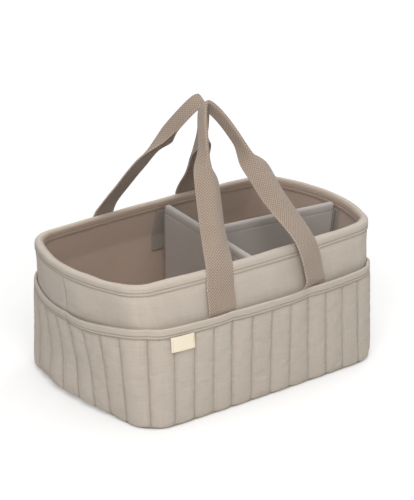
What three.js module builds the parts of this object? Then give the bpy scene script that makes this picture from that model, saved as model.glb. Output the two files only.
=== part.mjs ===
// Nursery organizer: an open fabric tub with quilted pockets all round, two lift-out dividers
// and a pair of webbing handles that lean together over the middle.
// Millimetres, +Z up, origin on the ground under the middle of the tub.
// +X runs along the length and -Y is the front, which carries the label tab.
import * as THREE from "three";

// Heights above the ground
const tubHeight = 171;
const pocketHeight = 122;

// Outer face of the tub wall at the ground, at the top of the pockets and at the rim.
// A bow is how far the middle of a wall stands out beyond its ends.
const baseHalfLength = 170;
const baseHalfWidth = 124;
const baseCornerRadius = 33;
const baseEndBow = 8;
const baseSideBow = 2;
const waistHalfLength = 164.5;
const waistHalfWidth = 113;
const waistCornerRadius = 20;
const waistEndBow = 31;
const waistSideBow = 11;
const rimHalfLength = 171.5;
const rimHalfWidth = 102.6;
const rimCornerRadius = 19;
const rimEndBow = 28.5;
const rimSideBow = 7.6;

// Cloth, foam and board
const layerGap = 0.3;
const canvasThickness = 1.2;
const foamThickness = 4;
const liningThickness = 0.9;
const baseClothThickness = 1.8;
const baseBoardThickness = 3;
const floorLiningThickness = 1.2;

// Rim hem, folded over the top of the wall
const rimHemDepth = 12.5;
const rimHemThickness = 1.2;

// Quilted pockets: how far their mouths stand off the wall on the long sides and on the ends,
// then the panel, its channels and its hem
const sidePocketMouth = 6.8;
const endPocketMouth = 5.4;
const pocketFootHeight = 45;
const quiltThickness = 2;
const quiltPuff = 2.2;
const channelsPerSpan = 4;
const pocketSeamX = 55.5;
const pocketHemDepth = 12;
const pocketHemThickness = 3.2;

// Label tab sewn under the front pocket hem
const labelX = -126.5;
const labelWidth = 31;
const labelHeight = 18;
const labelThickness = 0.9;
const labelTuck = 1.5;

// Handles of flat webbing, folded double lengthwise over the grip. The front one leans past the
// middle and the back one rests on it. A tilt is the lean of the grip from upright, in degrees.
const webbingWidth = 38;
const webbingThickness = 1.8;
const tailLength = 36;
const handleHalfSpacing = 69;
const handleClearance = 3.1;
const gripGap = 0.4;
const cupStartHeight = 172;
const cupEndHeight = 230;
const cupAngle = 30;
const foldStartHeight = 246;
const foldEndHeight = 286;
const archStartHeight = 150;
const archInset = 12;
const archPeakHalfWidth = 19;
const frontHandleX = -3;
const frontApexOut = 14;
const frontApexHeight = 330.5;
const frontGripTilt = 36;
const backHandleX = -1.5;
const backApexOut = 12.5;
const backApexHeight = 335;
const backGripTilt = 17;

// Lift-out dividers, set in at a slight skew, in degrees, about the point where they meet
const dividerX = 8;
const dividerY = 5;
const dividerSkew = 7;
const dividerTopGap = 5;
const dividerBoardThickness = 5.4;
const dividerCoverThickness = 1.2;
const dividerRimClearance = 0.5;
const tapeThickness = 1.6;
const tapeGap = 0.4;
const tapeWidth = 22;
const sideTapeHeight = 55;
const loopPileThickness = 2.3;

const quilted = new THREE.MeshStandardMaterial({ color: 0xbdb2a4, roughness: 0.93, metalness: 0 });
const canvas = new THREE.MeshStandardMaterial({ color: 0xbcb1a2, roughness: 0.94, metalness: 0 });
const hemCloth = new THREE.MeshStandardMaterial({ color: 0xb9ad9d, roughness: 0.93, metalness: 0 });
const liningCloth = new THREE.MeshStandardMaterial({ color: 0x9a928b, roughness: 0.9, metalness: 0 });
const webbing = new THREE.MeshStandardMaterial({ color: 0xa7917f, roughness: 0.88, metalness: 0 });
const foam = new THREE.MeshStandardMaterial({ color: 0xe4e2dc, roughness: 0.95, metalness: 0 });
const board = new THREE.MeshStandardMaterial({ color: 0x77736e, roughness: 0.7, metalness: 0 });
const tape = new THREE.MeshStandardMaterial({ color: 0x8f867c, roughness: 0.97, metalness: 0 });
const labelCloth = new THREE.MeshStandardMaterial({ color: 0xf1e6d0, roughness: 0.9, metalness: 0 });

// Depths of the wall's layers, measured outwards from the outer face of the canvas
const foamOuter = -(canvasThickness + layerGap);
const foamInner = foamOuter - foamThickness;
const liningOuter = foamInner - layerGap;
const liningInner = liningOuter - liningThickness;
const hemOuter = layerGap + rimHemThickness;
const hemInner = liningInner - layerGap - rimHemThickness;

// Levels of the stacked floor
const wallBottom = baseClothThickness + layerGap;
const boardTop = wallBottom + baseBoardThickness;
const floorTop = boardTop + layerGap + floorLiningThickness;
const floorTaper = (Math.max(0, baseHalfWidth - waistHalfWidth) * floorTop) / pocketHeight;
const floorDepth = liningInner - layerGap - floorTaper;
const wallTop = tubHeight - rimHemThickness - 3.5;
const rimHemBottom = tubHeight - rimHemDepth;

const wallStations = [
  {
    z: 0,
    a: baseHalfLength,
    b: baseHalfWidth,
    r: baseCornerRadius,
    endBow: baseEndBow,
    sideBow: baseSideBow,
  },
  {
    z: pocketHeight,
    a: waistHalfLength,
    b: waistHalfWidth,
    r: waistCornerRadius,
    endBow: waistEndBow,
    sideBow: waistSideBow,
  },
  {
    z: tubHeight,
    a: rimHalfLength,
    b: rimHalfWidth,
    r: rimCornerRadius,
    endBow: rimEndBow,
    sideBow: rimSideBow,
  },
];

// The wall's plan at a height: straight lines between the three stations
function wallPlan(z) {
  const upper = z > pocketHeight ? 2 : 1;
  const low = wallStations[upper - 1];
  const high = wallStations[upper];
  const t = (z - low.z) / (high.z - low.z);
  const plan = {};
  for (const key of ["a", "b", "r", "endBow", "sideBow"]) {
    plan[key] = low[key] + (high[key] - low[key]) * t;
  }
  return plan;
}

function sideRun(plan) {
  return plan.a - plan.r + (plan.r * Math.PI) / 4;
}

function endRun(plan) {
  return plan.b - plan.r + (plan.r * Math.PI) / 4;
}

// One quarter of the bowed rounded rectangle: q is 0 at the middle of an end, 0.5 at the middle
// of the corner and 1 at the middle of a long side
function quarterPoint(q, plan) {
  const { a, b, r, endBow, sideBow } = plan;
  let x = a;
  let y = b;
  if (q <= 0.5) {
    const run = (q / 0.5) * endRun(plan);
    const turn = Math.max(0, run - (b - r)) / r;
    x = a - r + r * Math.cos(turn);
    y = turn > 0 ? b - r + r * Math.sin(turn) : run;
  } else {
    const run = ((1 - q) / 0.5) * sideRun(plan);
    const turn = Math.max(0, run - (a - r)) / r;
    x = turn > 0 ? a - r + r * Math.sin(turn) : run;
    y = b - r + r * Math.cos(turn);
  }
  const bowedX = x + endBow * (x / a) * (1 - (y / b) ** 2);
  const bowedY = y + sideBow * (y / b) * (1 - (x / a) ** 2);
  return new THREE.Vector2(bowedX, bowedY);
}

// A place on the tub's way round: v is 0 at the middle of the long side, 0.5 at a corner and 1 at
// the middle of an end, with the sign of X; side is -1 for the front half and +1 for the back
function place(v, side) {
  return { v, side };
}

function wallPoint(where, z, depth) {
  const plan = wallPlan(z);
  const q = 1 - Math.abs(where.v);
  const step = 1e-4;
  const here = quarterPoint(q, plan);
  const ahead = quarterPoint(Math.min(1, q + step), plan);
  const behind = quarterPoint(Math.max(0, q - step), plan);
  const along = ahead.sub(behind).normalize();
  const x = here.x + along.y * depth;
  const y = here.y - along.x * depth;
  return new THREE.Vector3(Math.sign(where.v || 1) * x, where.side * y, z);
}

// The way-round value of a point of the long side that lies x from the middle
function sidePlace(x) {
  return (0.5 * x) / sideRun(wallPlan(pocketHeight));
}

function spread(from, to, steps) {
  return Array.from({ length: steps + 1 }, (_, i) => from + ((to - from) * i) / steps);
}

function runOfPlaces(from, to, steps, side) {
  return spread(from, to, steps).map((v) => place(v, side));
}

function solid(positions, triangles) {
  const geometry = new THREE.BufferGeometry();
  let volume = 0;
  for (const [i, j, k] of triangles) {
    volume += positions[i].dot(positions[j].clone().cross(positions[k]));
  }
  const faces = volume > 0 ? triangles : triangles.map(([i, j, k]) => [i, k, j]);
  const coordinates = positions.flatMap((p) => p.toArray());
  geometry.setAttribute("position", new THREE.Float32BufferAttribute(coordinates, 3));
  geometry.setIndex(faces.flat());
  geometry.computeVertexNormals();
  return geometry;
}

// Joins a row of sections into one closed skin. The points of a section run up one face and down
// the other, so that the first lies across from the last. A twisted face has its diagonal from
// low to high along the row, or the other way where leansBack says so, alike on both faces.
function loft(sections, ringed = false, leansBack = () => false) {
  const count = sections[0].length;
  const positions = sections.flat();
  const triangles = [];
  const spans = ringed ? sections.length : sections.length - 1;
  for (let s = 0; s < spans; s++) {
    const here = s * count;
    const next = ((s + 1) % sections.length) * count;
    for (let i = 0; i < count; i++) {
      const j = (i + 1) % count;
      if (i < count / 2 !== leansBack(s)) {
        triangles.push([here + i, here + j, next + j], [here + i, next + j, next + i]);
      } else {
        triangles.push([here + i, here + j, next + i], [here + j, next + j, next + i]);
      }
    }
  }
  const last = (sections.length - 1) * count;
  for (let i = 0; !ringed && i < count / 2 - 1; i++) {
    const across = count - 1 - i;
    triangles.push([i, across, i + 1], [i + 1, across, across - 1]);
    triangles.push([last + i, last + i + 1, last + across]);
    triangles.push([last + i + 1, last + across - 1, last + across]);
  }
  return solid(positions, triangles);
}

// A strip of the wall: its section of [depth, z] points is carried through the places. Diagonals
// rise away from the middle of the long sides, so neighbouring layers stay clear of each other.
function wallStrip(places, sectionAt, ringed = false) {
  const sections = places.map((where) => sectionAt(where).map(([d, z]) => wallPoint(where, z, d)));
  const nextOf = (s) => places[(s + 1) % places.length];
  return loft(sections, ringed, (s) => Math.abs(nextOf(s).v) < Math.abs(places[s].v));
}

function layerSection(outer, inner, levels) {
  const rising = levels.map((z) => [outer, z]);
  const falling = levels.map((z) => [inner, z]).reverse();
  return [...rising, ...falling];
}

// The places of one half shell stop half a layer gap short of the middle of each end
const shellEnd = 1 - (0.5 * layerGap) / 2 / endRun(wallPlan(tubHeight));
const boardEnd = 0.5 - (0.5 * layerGap) / sideRun(wallPlan(tubHeight));

// Even steps along each straight and finer ones round the corners
function shellPlaces(side) {
  const corner = 0.06;
  const half = [0, 0.12, 0.24, 0.36, 0.5 - corner, 0.475, 0.5, 0.525, 0.5 + corner + 0.03, 0.7, 0.8, 0.9];
  const right = [...half, shellEnd];
  const left = right.slice(1).reverse().map((v) => -v);
  return [...left, ...right].map((v) => place(v, side));
}

function ringPlaces() {
  const half = [0, 0.12, 0.24, 0.36, 0.44, 0.475, 0.5, 0.525, 0.59, 0.7, 0.8, 0.9];
  const frontRight = half.map((v) => place(v, -1));
  const rightEnd = [place(1, -1)];
  const backRight = half.slice(1).reverse().map((v) => place(v, 1));
  const backLeft = half.map((v) => place(-v, 1));
  const leftEnd = [place(-1, 1)];
  const frontLeft = half.slice(1).reverse().map((v) => place(-v, -1));
  return [...frontRight, ...rightEnd, ...backRight, ...backLeft, ...leftEnd, ...frontLeft];
}

const shellLevels = [wallBottom, pocketHeight, wallTop];

function wallShell(outer, inner, side) {
  return wallStrip(shellPlaces(side), () => layerSection(outer, inner, shellLevels));
}

function sideBoard(side) {
  const places = shellPlaces(side).filter(({ v }) => Math.abs(v) < boardEnd);
  const ends = [place(-boardEnd, side), ...places, place(boardEnd, side)];
  return wallStrip(ends, () => layerSection(foamOuter, foamInner, shellLevels));
}

function endBoard(sign) {
  const start = 0.5 + (0.5 * layerGap) / endRun(wallPlan(tubHeight));
  const run = [start, 0.525, 0.59, 0.7, 0.8, 0.9];
  const front = run.map((v) => place(sign * v, -1));
  const back = [...run].reverse().map((v) => place(sign * v, 1));
  const places = [...front, place(sign, -1), ...back];
  return wallStrip(places, () => layerSection(foamOuter, foamInner, shellLevels));
}

// A level plate whose edge follows the wall's plan at a height
function floorPlate(planHeight, depth, bottom, thickness) {
  const outline = ringPlaces().map((where) => wallPoint(where, planHeight, depth));
  const shape = new THREE.Shape(outline.map((p) => new THREE.Vector2(p.x, p.y)));
  const plate = new THREE.ExtrudeGeometry(shape, { depth: thickness, bevelEnabled: false });
  return plate.translate(0, 0, bottom);
}

function rimHem() {
  const crown = 4;
  const middle = (hemOuter + hemInner) / 2;
  const shoulder = 1.3;
  const section = [
    [hemOuter, rimHemBottom],
    [hemOuter, tubHeight - crown],
    [hemOuter - shoulder, tubHeight - 1],
    [middle, tubHeight],
    [hemInner + shoulder, tubHeight - 1],
    [hemInner, tubHeight - crown],
    [hemInner, rimHemBottom],
    [hemInner + rimHemThickness, rimHemBottom],
    [hemInner + rimHemThickness, tubHeight - crown],
    [middle, tubHeight - rimHemThickness - 1],
    [hemOuter - rimHemThickness, tubHeight - crown],
    [hemOuter - rimHemThickness, rimHemBottom],
  ];
  return wallStrip(ringPlaces(), () => section, true);
}

// Pockets. The panel is sewn to the wall at the corners and, over the edge of each strap's tail,
// at the two seams of a long side; between them it stands off the wall.
const tailInner = layerGap + 0.1;
const tailOuter = tailInner + webbingThickness;
const seamTuck = tailOuter + layerGap + 0.05;
const cornerTuck = layerGap + 0.05;
const pocketSeam = sidePlace(pocketSeamX);
const pocketFloor = wallBottom;

function standOff(v, z) {
  const away = Math.abs(v);
  const mouth = away > 0.5 ? endPocketMouth : sidePocketMouth;
  let t = (away - 0.5) / 0.5;
  let tuck = cornerTuck;
  if (away <= pocketSeam) {
    t = (away + pocketSeam) / (2 * pocketSeam);
    tuck = seamTuck;
  } else if (away <= 0.5) {
    t = (away - pocketSeam) / (0.5 - pocketSeam);
    tuck = seamTuck + (cornerTuck - seamTuck) * t;
  }
  const lobe = 1 - (2 * t - 1) ** 4;
  const open = tuck + (mouth - tuck) * lobe;
  const rise = THREE.MathUtils.smoothstep(z, pocketFloor, pocketFootHeight);
  return cornerTuck + (open - cornerTuck) * rise;
}

// Way-round values where one channel of the quilting ends and the next begins
function channelEdges() {
  const spans = [0, pocketSeam, 0.5, shellEnd];
  const middle = spread(-pocketSeam, pocketSeam, channelsPerSpan);
  const outerRight = spread(spans[1], spans[2], channelsPerSpan).slice(1);
  const endRight = spread(spans[2], spans[3], channelsPerSpan).slice(1);
  const right = [...outerRight, ...endRight];
  const left = [...right].reverse().map((v) => -v);
  return [...left, ...middle, ...right];
}

function pocketColumns() {
  const stepsPerChannel = 4;
  const edges = channelEdges();
  const columns = [{ v: edges[0], puff: 0 }];
  for (let c = 1; c < edges.length; c++) {
    for (let s = 1; s <= stepsPerChannel; s++) {
      const t = s / stepsPerChannel;
      const puff = s === stepsPerChannel ? 0 : Math.sin(Math.PI * t) ** 0.7;
      columns.push({ v: edges[c - 1] + (edges[c] - edges[c - 1]) * t, puff });
    }
  }
  return columns;
}

function pocketPanel(side) {
  const top = pocketHeight - pocketHemDepth - layerGap;
  const outerLevels = [
    { z: wallBottom, fill: 0.1 },
    { z: wallBottom + 6, fill: 0.85 },
    { z: pocketFootHeight * 0.6, fill: 1 },
    { z: pocketFootHeight, fill: 1 },
    { z: top - 8, fill: 1 },
    { z: top, fill: 0.35 },
  ];
  const innerLevels = outerLevels.map(({ z }) => z).reverse();
  const places = pocketColumns().map(({ v, puff }) => ({ v, side, puff }));
  const sectionAt = ({ v, puff }) => [
    ...outerLevels.map(({ z, fill }) => [standOff(v, z) + quiltThickness + quiltPuff * puff * fill, z]),
    ...innerLevels.map((z) => [standOff(v, z), z]),
  ];
  return wallStrip(places, sectionAt);
}

function pocketHem(side) {
  const bottom = pocketHeight - pocketHemDepth;
  const roll = 1;
  const sectionAt = ({ v }) => {
    const inner = standOff(v, pocketHeight);
    const outer = inner + pocketHemThickness;
    return [
      [outer, bottom],
      [outer, pocketHeight - roll],
      [outer - roll, pocketHeight],
      [inner + roll, pocketHeight],
      [inner, pocketHeight - roll],
      [inner, bottom],
    ];
  };
  const places = pocketColumns().filter((_, i) => i % 2 === 0).map(({ v }) => place(v, side));
  return wallStrip(places, sectionAt);
}

function labelTab() {
  const from = sidePlace(labelX - labelWidth / 2);
  const to = sidePlace(labelX + labelWidth / 2);
  const top = pocketHeight - pocketHemDepth + labelTuck;
  const sectionAt = ({ v }) => {
    const inner = standOff(v, pocketHeight) + quiltThickness + quiltPuff + layerGap;
    return layerSection(inner + labelThickness, inner, [top - labelHeight, top]);
  };
  return wallStrip(runOfPlaces(from, to, 4, -1), sectionAt);
}

// The sewn end of a handle, flat on the wall inside the pocket
function handleTail(x, side) {
  const from = sidePlace(x - webbingWidth / 2);
  const to = sidePlace(x + webbingWidth / 2);
  const top = pocketHeight + layerGap;
  const sectionAt = () => layerSection(tailOuter, tailInner, [top - tailLength, top]);
  return wallStrip(runOfPlaces(from, to, 4, side), sectionAt);
}

// How far the wall's outer face is from the middle plane where the handles run
function wallOutAtHandle(z) {
  return wallPoint(place(sidePlace(handleHalfSpacing), 1), z, 0).y;
}

const handleRootHeight = pocketHeight + 0.8;

// The handle's side view as outward distance against height: up the wall, over the rim, straight
// to the neck and along the grip to the apex
function leanCurve(apexOut, apexHeight, gripTilt) {
  const tilt = THREE.MathUtils.degToRad(gripTilt);
  const neckLength = 26;
  const neckOut = apexOut + neckLength * Math.sin(tilt);
  const neckHeight = apexHeight - neckLength * Math.cos(tilt);
  const rimOut = wallOutAtHandle(tubHeight) + hemOuter + handleClearance;
  const shoulderOut = rimOut - 4.3;
  const shoulderHeight = tubHeight + 9;
  const bandHeight = (pocketHeight + tubHeight) / 2;
  const points = [
    [wallOutAtHandle(handleRootHeight) + handleClearance, handleRootHeight],
    [wallOutAtHandle(bandHeight) + handleClearance + 0.6, bandHeight],
    [rimOut, tubHeight],
    [shoulderOut, shoulderHeight],
    [(shoulderOut + neckOut) / 2, (shoulderHeight + neckHeight) / 2],
    [neckOut, neckHeight],
    [apexOut, apexHeight],
  ];
  const curve = new THREE.CatmullRomCurve3(points.map(([out, z]) => new THREE.Vector3(out, z, 0)));
  curve.arcLengthDivisions = 600;
  return curve;
}

// The flat strap's section at a fold angle: a crease strip in the middle and two flaps that turn
// back until they lie side by side
const creaseWidth = webbingThickness + gripGap;

function strapSection(fold) {
  const half = webbingThickness / 2;
  const crease = creaseWidth / 2;
  const flap = (webbingWidth - creaseWidth) / 2;
  const sine = Math.sin(fold);
  const cosine = Math.cos(fold);
  const mitre = Math.tan(fold / 2);
  const tip = [crease + flap * cosine, -flap * sine];
  const outerRight = [
    [crease + half * mitre, half],
    [tip[0] + half * sine, tip[1] + half * cosine],
  ];
  const innerRight = [
    [tip[0] - half * sine, tip[1] - half * cosine],
    [crease - half * mitre, -half],
  ];
  const outerLeft = outerRight.map(([w, n]) => [-w, n]).reverse();
  const innerLeft = innerRight.map(([w, n]) => [-w, n]).reverse();
  return [...outerLeft, ...outerRight, ...innerRight, ...innerLeft];
}

// The loop seen square to its lean: distance from the middle against the way up the lean. Both
// legs rise upright, draw in and meet in a round peak.
function archPoints(leanLength) {
  const start = archStartHeight - handleRootHeight;
  const drawIn = (leanLength - start) * 0.22;
  const bend = new THREE.CubicBezierCurve(
    new THREE.Vector2(-handleHalfSpacing, start),
    new THREE.Vector2(archInset - handleHalfSpacing, start + drawIn),
    new THREE.Vector2(-archPeakHalfWidth, leanLength),
    new THREE.Vector2(0, leanLength),
  );
  const straight = spread(0, start, 3).map((h) => new THREE.Vector2(-handleHalfSpacing, h));
  const left = [...straight, ...bend.getPoints(30).slice(1)];
  const right = left.slice(0, -1).reverse().map((p) => new THREE.Vector2(-p.x, p.y));
  return [...left, ...right];
}

// A flap's turn at a height: slightly cupped above the rim, folded shut from the neck up
function foldAngle(z) {
  const cup = cupAngle * THREE.MathUtils.smoothstep(z, cupStartHeight, cupEndHeight);
  const fold = (90 - cupAngle) * THREE.MathUtils.smoothstep(z, foldStartHeight, foldEndHeight);
  return THREE.MathUtils.degToRad(cup + fold);
}

function handle(x, apexOut, apexHeight, gripTilt, side) {
  const lean = leanCurve(apexOut, apexHeight, gripTilt);
  const leanLength = lean.getLength();
  const arch = archPoints(leanLength);
  const sections = arch.map((p, i) => {
    const before = arch[Math.max(0, i - 1)];
    const after = arch[Math.min(arch.length - 1, i + 1)];
    const flow = after.clone().sub(before).normalize();
    const u = Math.min(1, p.y / leanLength);
    const at = lean.getPointAt(u);
    const up = lean.getTangentAt(u);
    const centre = new THREE.Vector3(x + p.x, side * at.x, at.y);
    const tangent = new THREE.Vector3(flow.x, side * up.x * flow.y, up.y * flow.y).normalize();
    const normal = new THREE.Vector3(0, side * up.y, -up.x);
    const across = tangent.clone().cross(normal);
    return strapSection(foldAngle(at.y)).map(([w, n]) =>
      centre.clone().addScaledVector(across, w).addScaledVector(normal, n),
    );
  });
  return loft(sections);
}

// A six-sided block from its four lower and four upper corners, each listed round the same way
function block(lower, upper) {
  return loft([lower, upper].map((row) => row.map(([x, y, z]) => new THREE.Vector3(x, y, z))));
}

function rectangle(x0, x1, y0, y1, z) {
  return [
    [x0, y0, z],
    [x1, y0, z],
    [x1, y1, z],
    [x0, y1, z],
  ];
}

// A sleeve closed on top and open below: its outside and inside corner rows share the lower edge
function sleeve(outerLow, outerHigh, innerLow, innerHigh) {
  const rows = [innerHigh, innerLow, outerLow, outerHigh];
  const positions = rows.flat().map(([x, y, z]) => new THREE.Vector3(x, y, z));
  const triangles = [];
  for (let row = 0; row < 3; row++) {
    for (let i = 0; i < 4; i++) {
      const j = (i + 1) % 4;
      const here = row * 4;
      const next = here + 4;
      triangles.push([here + i, here + j, next + j], [here + i, next + j, next + i]);
    }
  }
  triangles.push([0, 2, 1], [0, 3, 2], [12, 13, 14], [12, 14, 15]);
  return solid(positions, triangles);
}

const skew = THREE.MathUtils.degToRad(dividerSkew);
const dividerHalfThickness = dividerBoardThickness / 2 + layerGap + dividerCoverThickness;
const dividerBottom = floorTop + layerGap;
const dividerTop = tubHeight - dividerTopGap;
const sideTapeTop = rimHemBottom - 2;
const coverInset = dividerCoverThickness + layerGap;

// How far the cross divider reaches towards one long side from the point where the dividers meet.
// It is lifted out between the rim hems, so its tape keeps clear of the narrowest of them.
function crossReach(side) {
  const narrowest = wallPoint(place(sidePlace(tapeWidth), 1), tubHeight, hemInner).y;
  const clear = narrowest - dividerRimClearance - side * dividerY - dividerHalfThickness * Math.sin(skew);
  return clear / Math.cos(skew) - tapeThickness - layerGap;
}

// Where the divider's edge meets a long side
function crossEndX(side) {
  return dividerX + side * crossReach(side) * Math.sin(skew);
}

function crossDividerCover() {
  const t = dividerHalfThickness;
  const c = dividerCoverThickness;
  const front = -crossReach(-1);
  const back = crossReach(1);
  return sleeve(
    rectangle(-t, t, front, back, dividerBottom),
    rectangle(-t, t, front, back, dividerTop),
    rectangle(c - t, t - c, front + c, back - c, dividerBottom),
    rectangle(c - t, t - c, front + c, back - c, dividerTop - c),
  );
}

function crossDividerBoard() {
  const t = dividerBoardThickness / 2;
  const front = coverInset - crossReach(-1);
  const back = crossReach(1) - coverInset;
  return block(
    rectangle(-t, t, front, back, dividerBottom + layerGap),
    rectangle(-t, t, front, back, dividerTop - coverInset),
  );
}

function crossHook(side) {
  const near = side * (crossReach(side) + layerGap);
  const far = near + side * tapeThickness;
  const t = dividerHalfThickness;
  return block(
    rectangle(-t, t, Math.min(near, far), Math.max(near, far), sideTapeTop - sideTapeHeight),
    rectangle(-t, t, Math.min(near, far), Math.max(near, far), sideTapeTop),
  );
}

function sideLoopStrip(side) {
  const from = sidePlace(crossEndX(side) - tapeWidth / 2);
  const to = sidePlace(crossEndX(side) + tapeWidth / 2);
  const outer = liningInner - layerGap;
  const levels = [sideTapeTop - sideTapeHeight, pocketHeight, sideTapeTop].sort((p, q) => p - q);
  const sectionAt = () => layerSection(outer, outer - loopPileThickness, levels);
  return wallStrip(runOfPlaces(from, to, 2, side), sectionAt);
}

const crossLoopInner = dividerHalfThickness + layerGap;
const crossLoopOuter = crossLoopInner + tapeThickness;
const longHookInner = crossLoopOuter + tapeGap;
const longLeft = longHookInner + tapeThickness + layerGap;
const longTapeLow = dividerBottom + 8;
const longTapeTop = rimHemBottom - 2;

function crossLoopStrip() {
  const y = tapeWidth / 2;
  return block(
    rectangle(crossLoopInner, crossLoopOuter, -y, y, longTapeLow),
    rectangle(crossLoopInner, crossLoopOuter, -y, y, longTapeTop),
  );
}

// Inner face of the tape on the right end's lining
const endTapeFace = liningInner - layerGap - tapeThickness;

// The point of the right end's inside where the long divider's line runs out, at a height and
// at a depth in the wall
function longEndPoint(z, depth) {
  let y = dividerY;
  let point = wallPoint(place(1, 1), z, depth);
  for (let pass = 0; pass < 4; pass++) {
    point = wallPoint(place(1 - (0.5 * Math.abs(y)) / endRun(wallPlan(z)), Math.sign(y)), z, depth);
    y = dividerY - (point.x - dividerX) * Math.tan(skew);
  }
  return point;
}

function endLoopStrip() {
  const middle = longEndPoint(pocketHeight, liningInner).y;
  const run = endRun(wallPlan(pocketHeight));
  const along = spread(middle - tapeWidth / 2, middle + tapeWidth / 2, 4);
  const places = along.map((y) => place(1 - (0.5 * Math.abs(y)) / run, y < 0 ? -1 : 1));
  const outer = liningInner - layerGap;
  const levels = [longTapeLow, pocketHeight, longTapeTop];
  return wallStrip(places, () => layerSection(outer, endTapeFace, levels));
}

// The long divider's right edge: a straight line inside the end wall, with room for its tape, for
// the rim hem as it is lifted out and for a wall that draws in at the waist
function longRight(z) {
  const reach = (height, depth) => (longEndPoint(height, depth).x - dividerX) / Math.cos(skew);
  const cornerEase = dividerHalfThickness * Math.tan(skew);
  const tape = tapeThickness + layerGap + cornerEase;
  const low = reach(dividerBottom, endTapeFace - tapeGap) - tape;
  const high = Math.min(
    reach(dividerTop, endTapeFace - tapeGap) - tape,
    reach(dividerTop, hemInner - dividerRimClearance) - tape,
  );
  const edge = (height) => low + ((high - low) * (height - dividerBottom)) / (dividerTop - dividerBottom);
  const waist = reach(pocketHeight, endTapeFace - tapeGap) - tape;
  return edge(z) - Math.max(0, edge(pocketHeight) - waist);
}

function longDividerCover() {
  const y = dividerHalfThickness;
  const c = dividerCoverThickness;
  return sleeve(
    rectangle(longLeft, longRight(dividerBottom), -y, y, dividerBottom),
    rectangle(longLeft, longRight(dividerTop), -y, y, dividerTop),
    rectangle(longLeft + c, longRight(dividerBottom) - c, c - y, y - c, dividerBottom),
    rectangle(longLeft + c, longRight(dividerTop) - c, c - y, y - c, dividerTop - c),
  );
}

function longDividerBoard() {
  const y = dividerBoardThickness / 2;
  const low = dividerBottom + layerGap;
  const high = dividerTop - coverInset;
  return block(
    rectangle(longLeft + coverInset, longRight(low) - coverInset, -y, y, low),
    rectangle(longLeft + coverInset, longRight(high) - coverInset, -y, y, high),
  );
}

function longCrossHook() {
  const y = dividerHalfThickness;
  return block(
    rectangle(longHookInner, longHookInner + tapeThickness, -y, y, longTapeLow),
    rectangle(longHookInner, longHookInner + tapeThickness, -y, y, longTapeTop),
  );
}

function longEndHook() {
  const y = dividerHalfThickness;
  const low = longRight(longTapeLow) + layerGap;
  const high = longRight(longTapeTop) + layerGap;
  return block(
    rectangle(low, low + tapeThickness, -y, y, longTapeLow),
    rectangle(high, high + tapeThickness, -y, y, longTapeTop),
  );
}

const organizer = new THREE.Group();
const tub = new THREE.Group();
const handles = new THREE.Group();
const dividers = new THREE.Group();
dividers.position.set(dividerX, dividerY, 0);
dividers.rotation.z = -skew;
organizer.add(tub, handles, dividers);

function add(group, name, geometry, material) {
  const mesh = new THREE.Mesh(geometry, material);
  mesh.name = name;
  group.add(mesh);
}

add(tub, "base_cloth", floorPlate(0, quiltThickness + cornerTuck, 0, baseClothThickness), canvas);
add(tub, "base_board", floorPlate(wallBottom, floorDepth, wallBottom, baseBoardThickness), board);
const floorLiningPlate = floorPlate(wallBottom, floorDepth, boardTop + layerGap, floorLiningThickness);
add(tub, "floor_lining", floorLiningPlate, liningCloth);

for (const [half, side] of [["front", -1], ["back", 1]]) {
  add(tub, `outer_canvas_${half}`, wallShell(0, -canvasThickness, side), canvas);
  add(tub, `foam_board_${half}`, sideBoard(side), foam);
  add(tub, `lining_${half}`, wallShell(liningOuter, liningInner, side), liningCloth);
  add(tub, `pocket_panel_${half}`, pocketPanel(side), quilted);
  add(tub, `pocket_hem_${half}`, pocketHem(side), hemCloth);
  add(tub, `divider_loop_tape_${half}`, sideLoopStrip(side), tape);
  const handleX = side < 0 ? frontHandleX : backHandleX;
  add(tub, `handle_tail_${half}_left`, handleTail(handleX - handleHalfSpacing, side), webbing);
  add(tub, `handle_tail_${half}_right`, handleTail(handleX + handleHalfSpacing, side), webbing);
  add(dividers, `cross_divider_hook_tape_${half}`, crossHook(side), tape);
}

add(tub, "foam_board_left", endBoard(-1), foam);
add(tub, "foam_board_right", endBoard(1), foam);
add(tub, "rim_hem", rimHem(), hemCloth);
add(tub, "divider_loop_tape_right", endLoopStrip(), tape);
add(tub, "label_tab", labelTab(), labelCloth);

const handleFront = handle(frontHandleX, frontApexOut, frontApexHeight, frontGripTilt, -1);
const handleBack = handle(backHandleX, backApexOut, backApexHeight, backGripTilt, 1);
add(handles, "handle_front", handleFront, webbing);
add(handles, "handle_back", handleBack, webbing);

add(dividers, "cross_divider_cover", crossDividerCover(), liningCloth);
add(dividers, "cross_divider_board", crossDividerBoard(), board);
add(dividers, "cross_divider_loop_tape", crossLoopStrip(), tape);
add(dividers, "long_divider_cover", longDividerCover(), liningCloth);
add(dividers, "long_divider_board", longDividerBoard(), board);
add(dividers, "long_divider_hook_tape_cross", longCrossHook(), tape);
add(dividers, "long_divider_hook_tape_end", longEndHook(), tape);

export default organizer;
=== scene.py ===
import math

import bpy
import numpy as np
from bpy.props import FloatProperty, FloatVectorProperty, IntProperty, PointerProperty
from mathutils import Matrix, Vector


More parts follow.
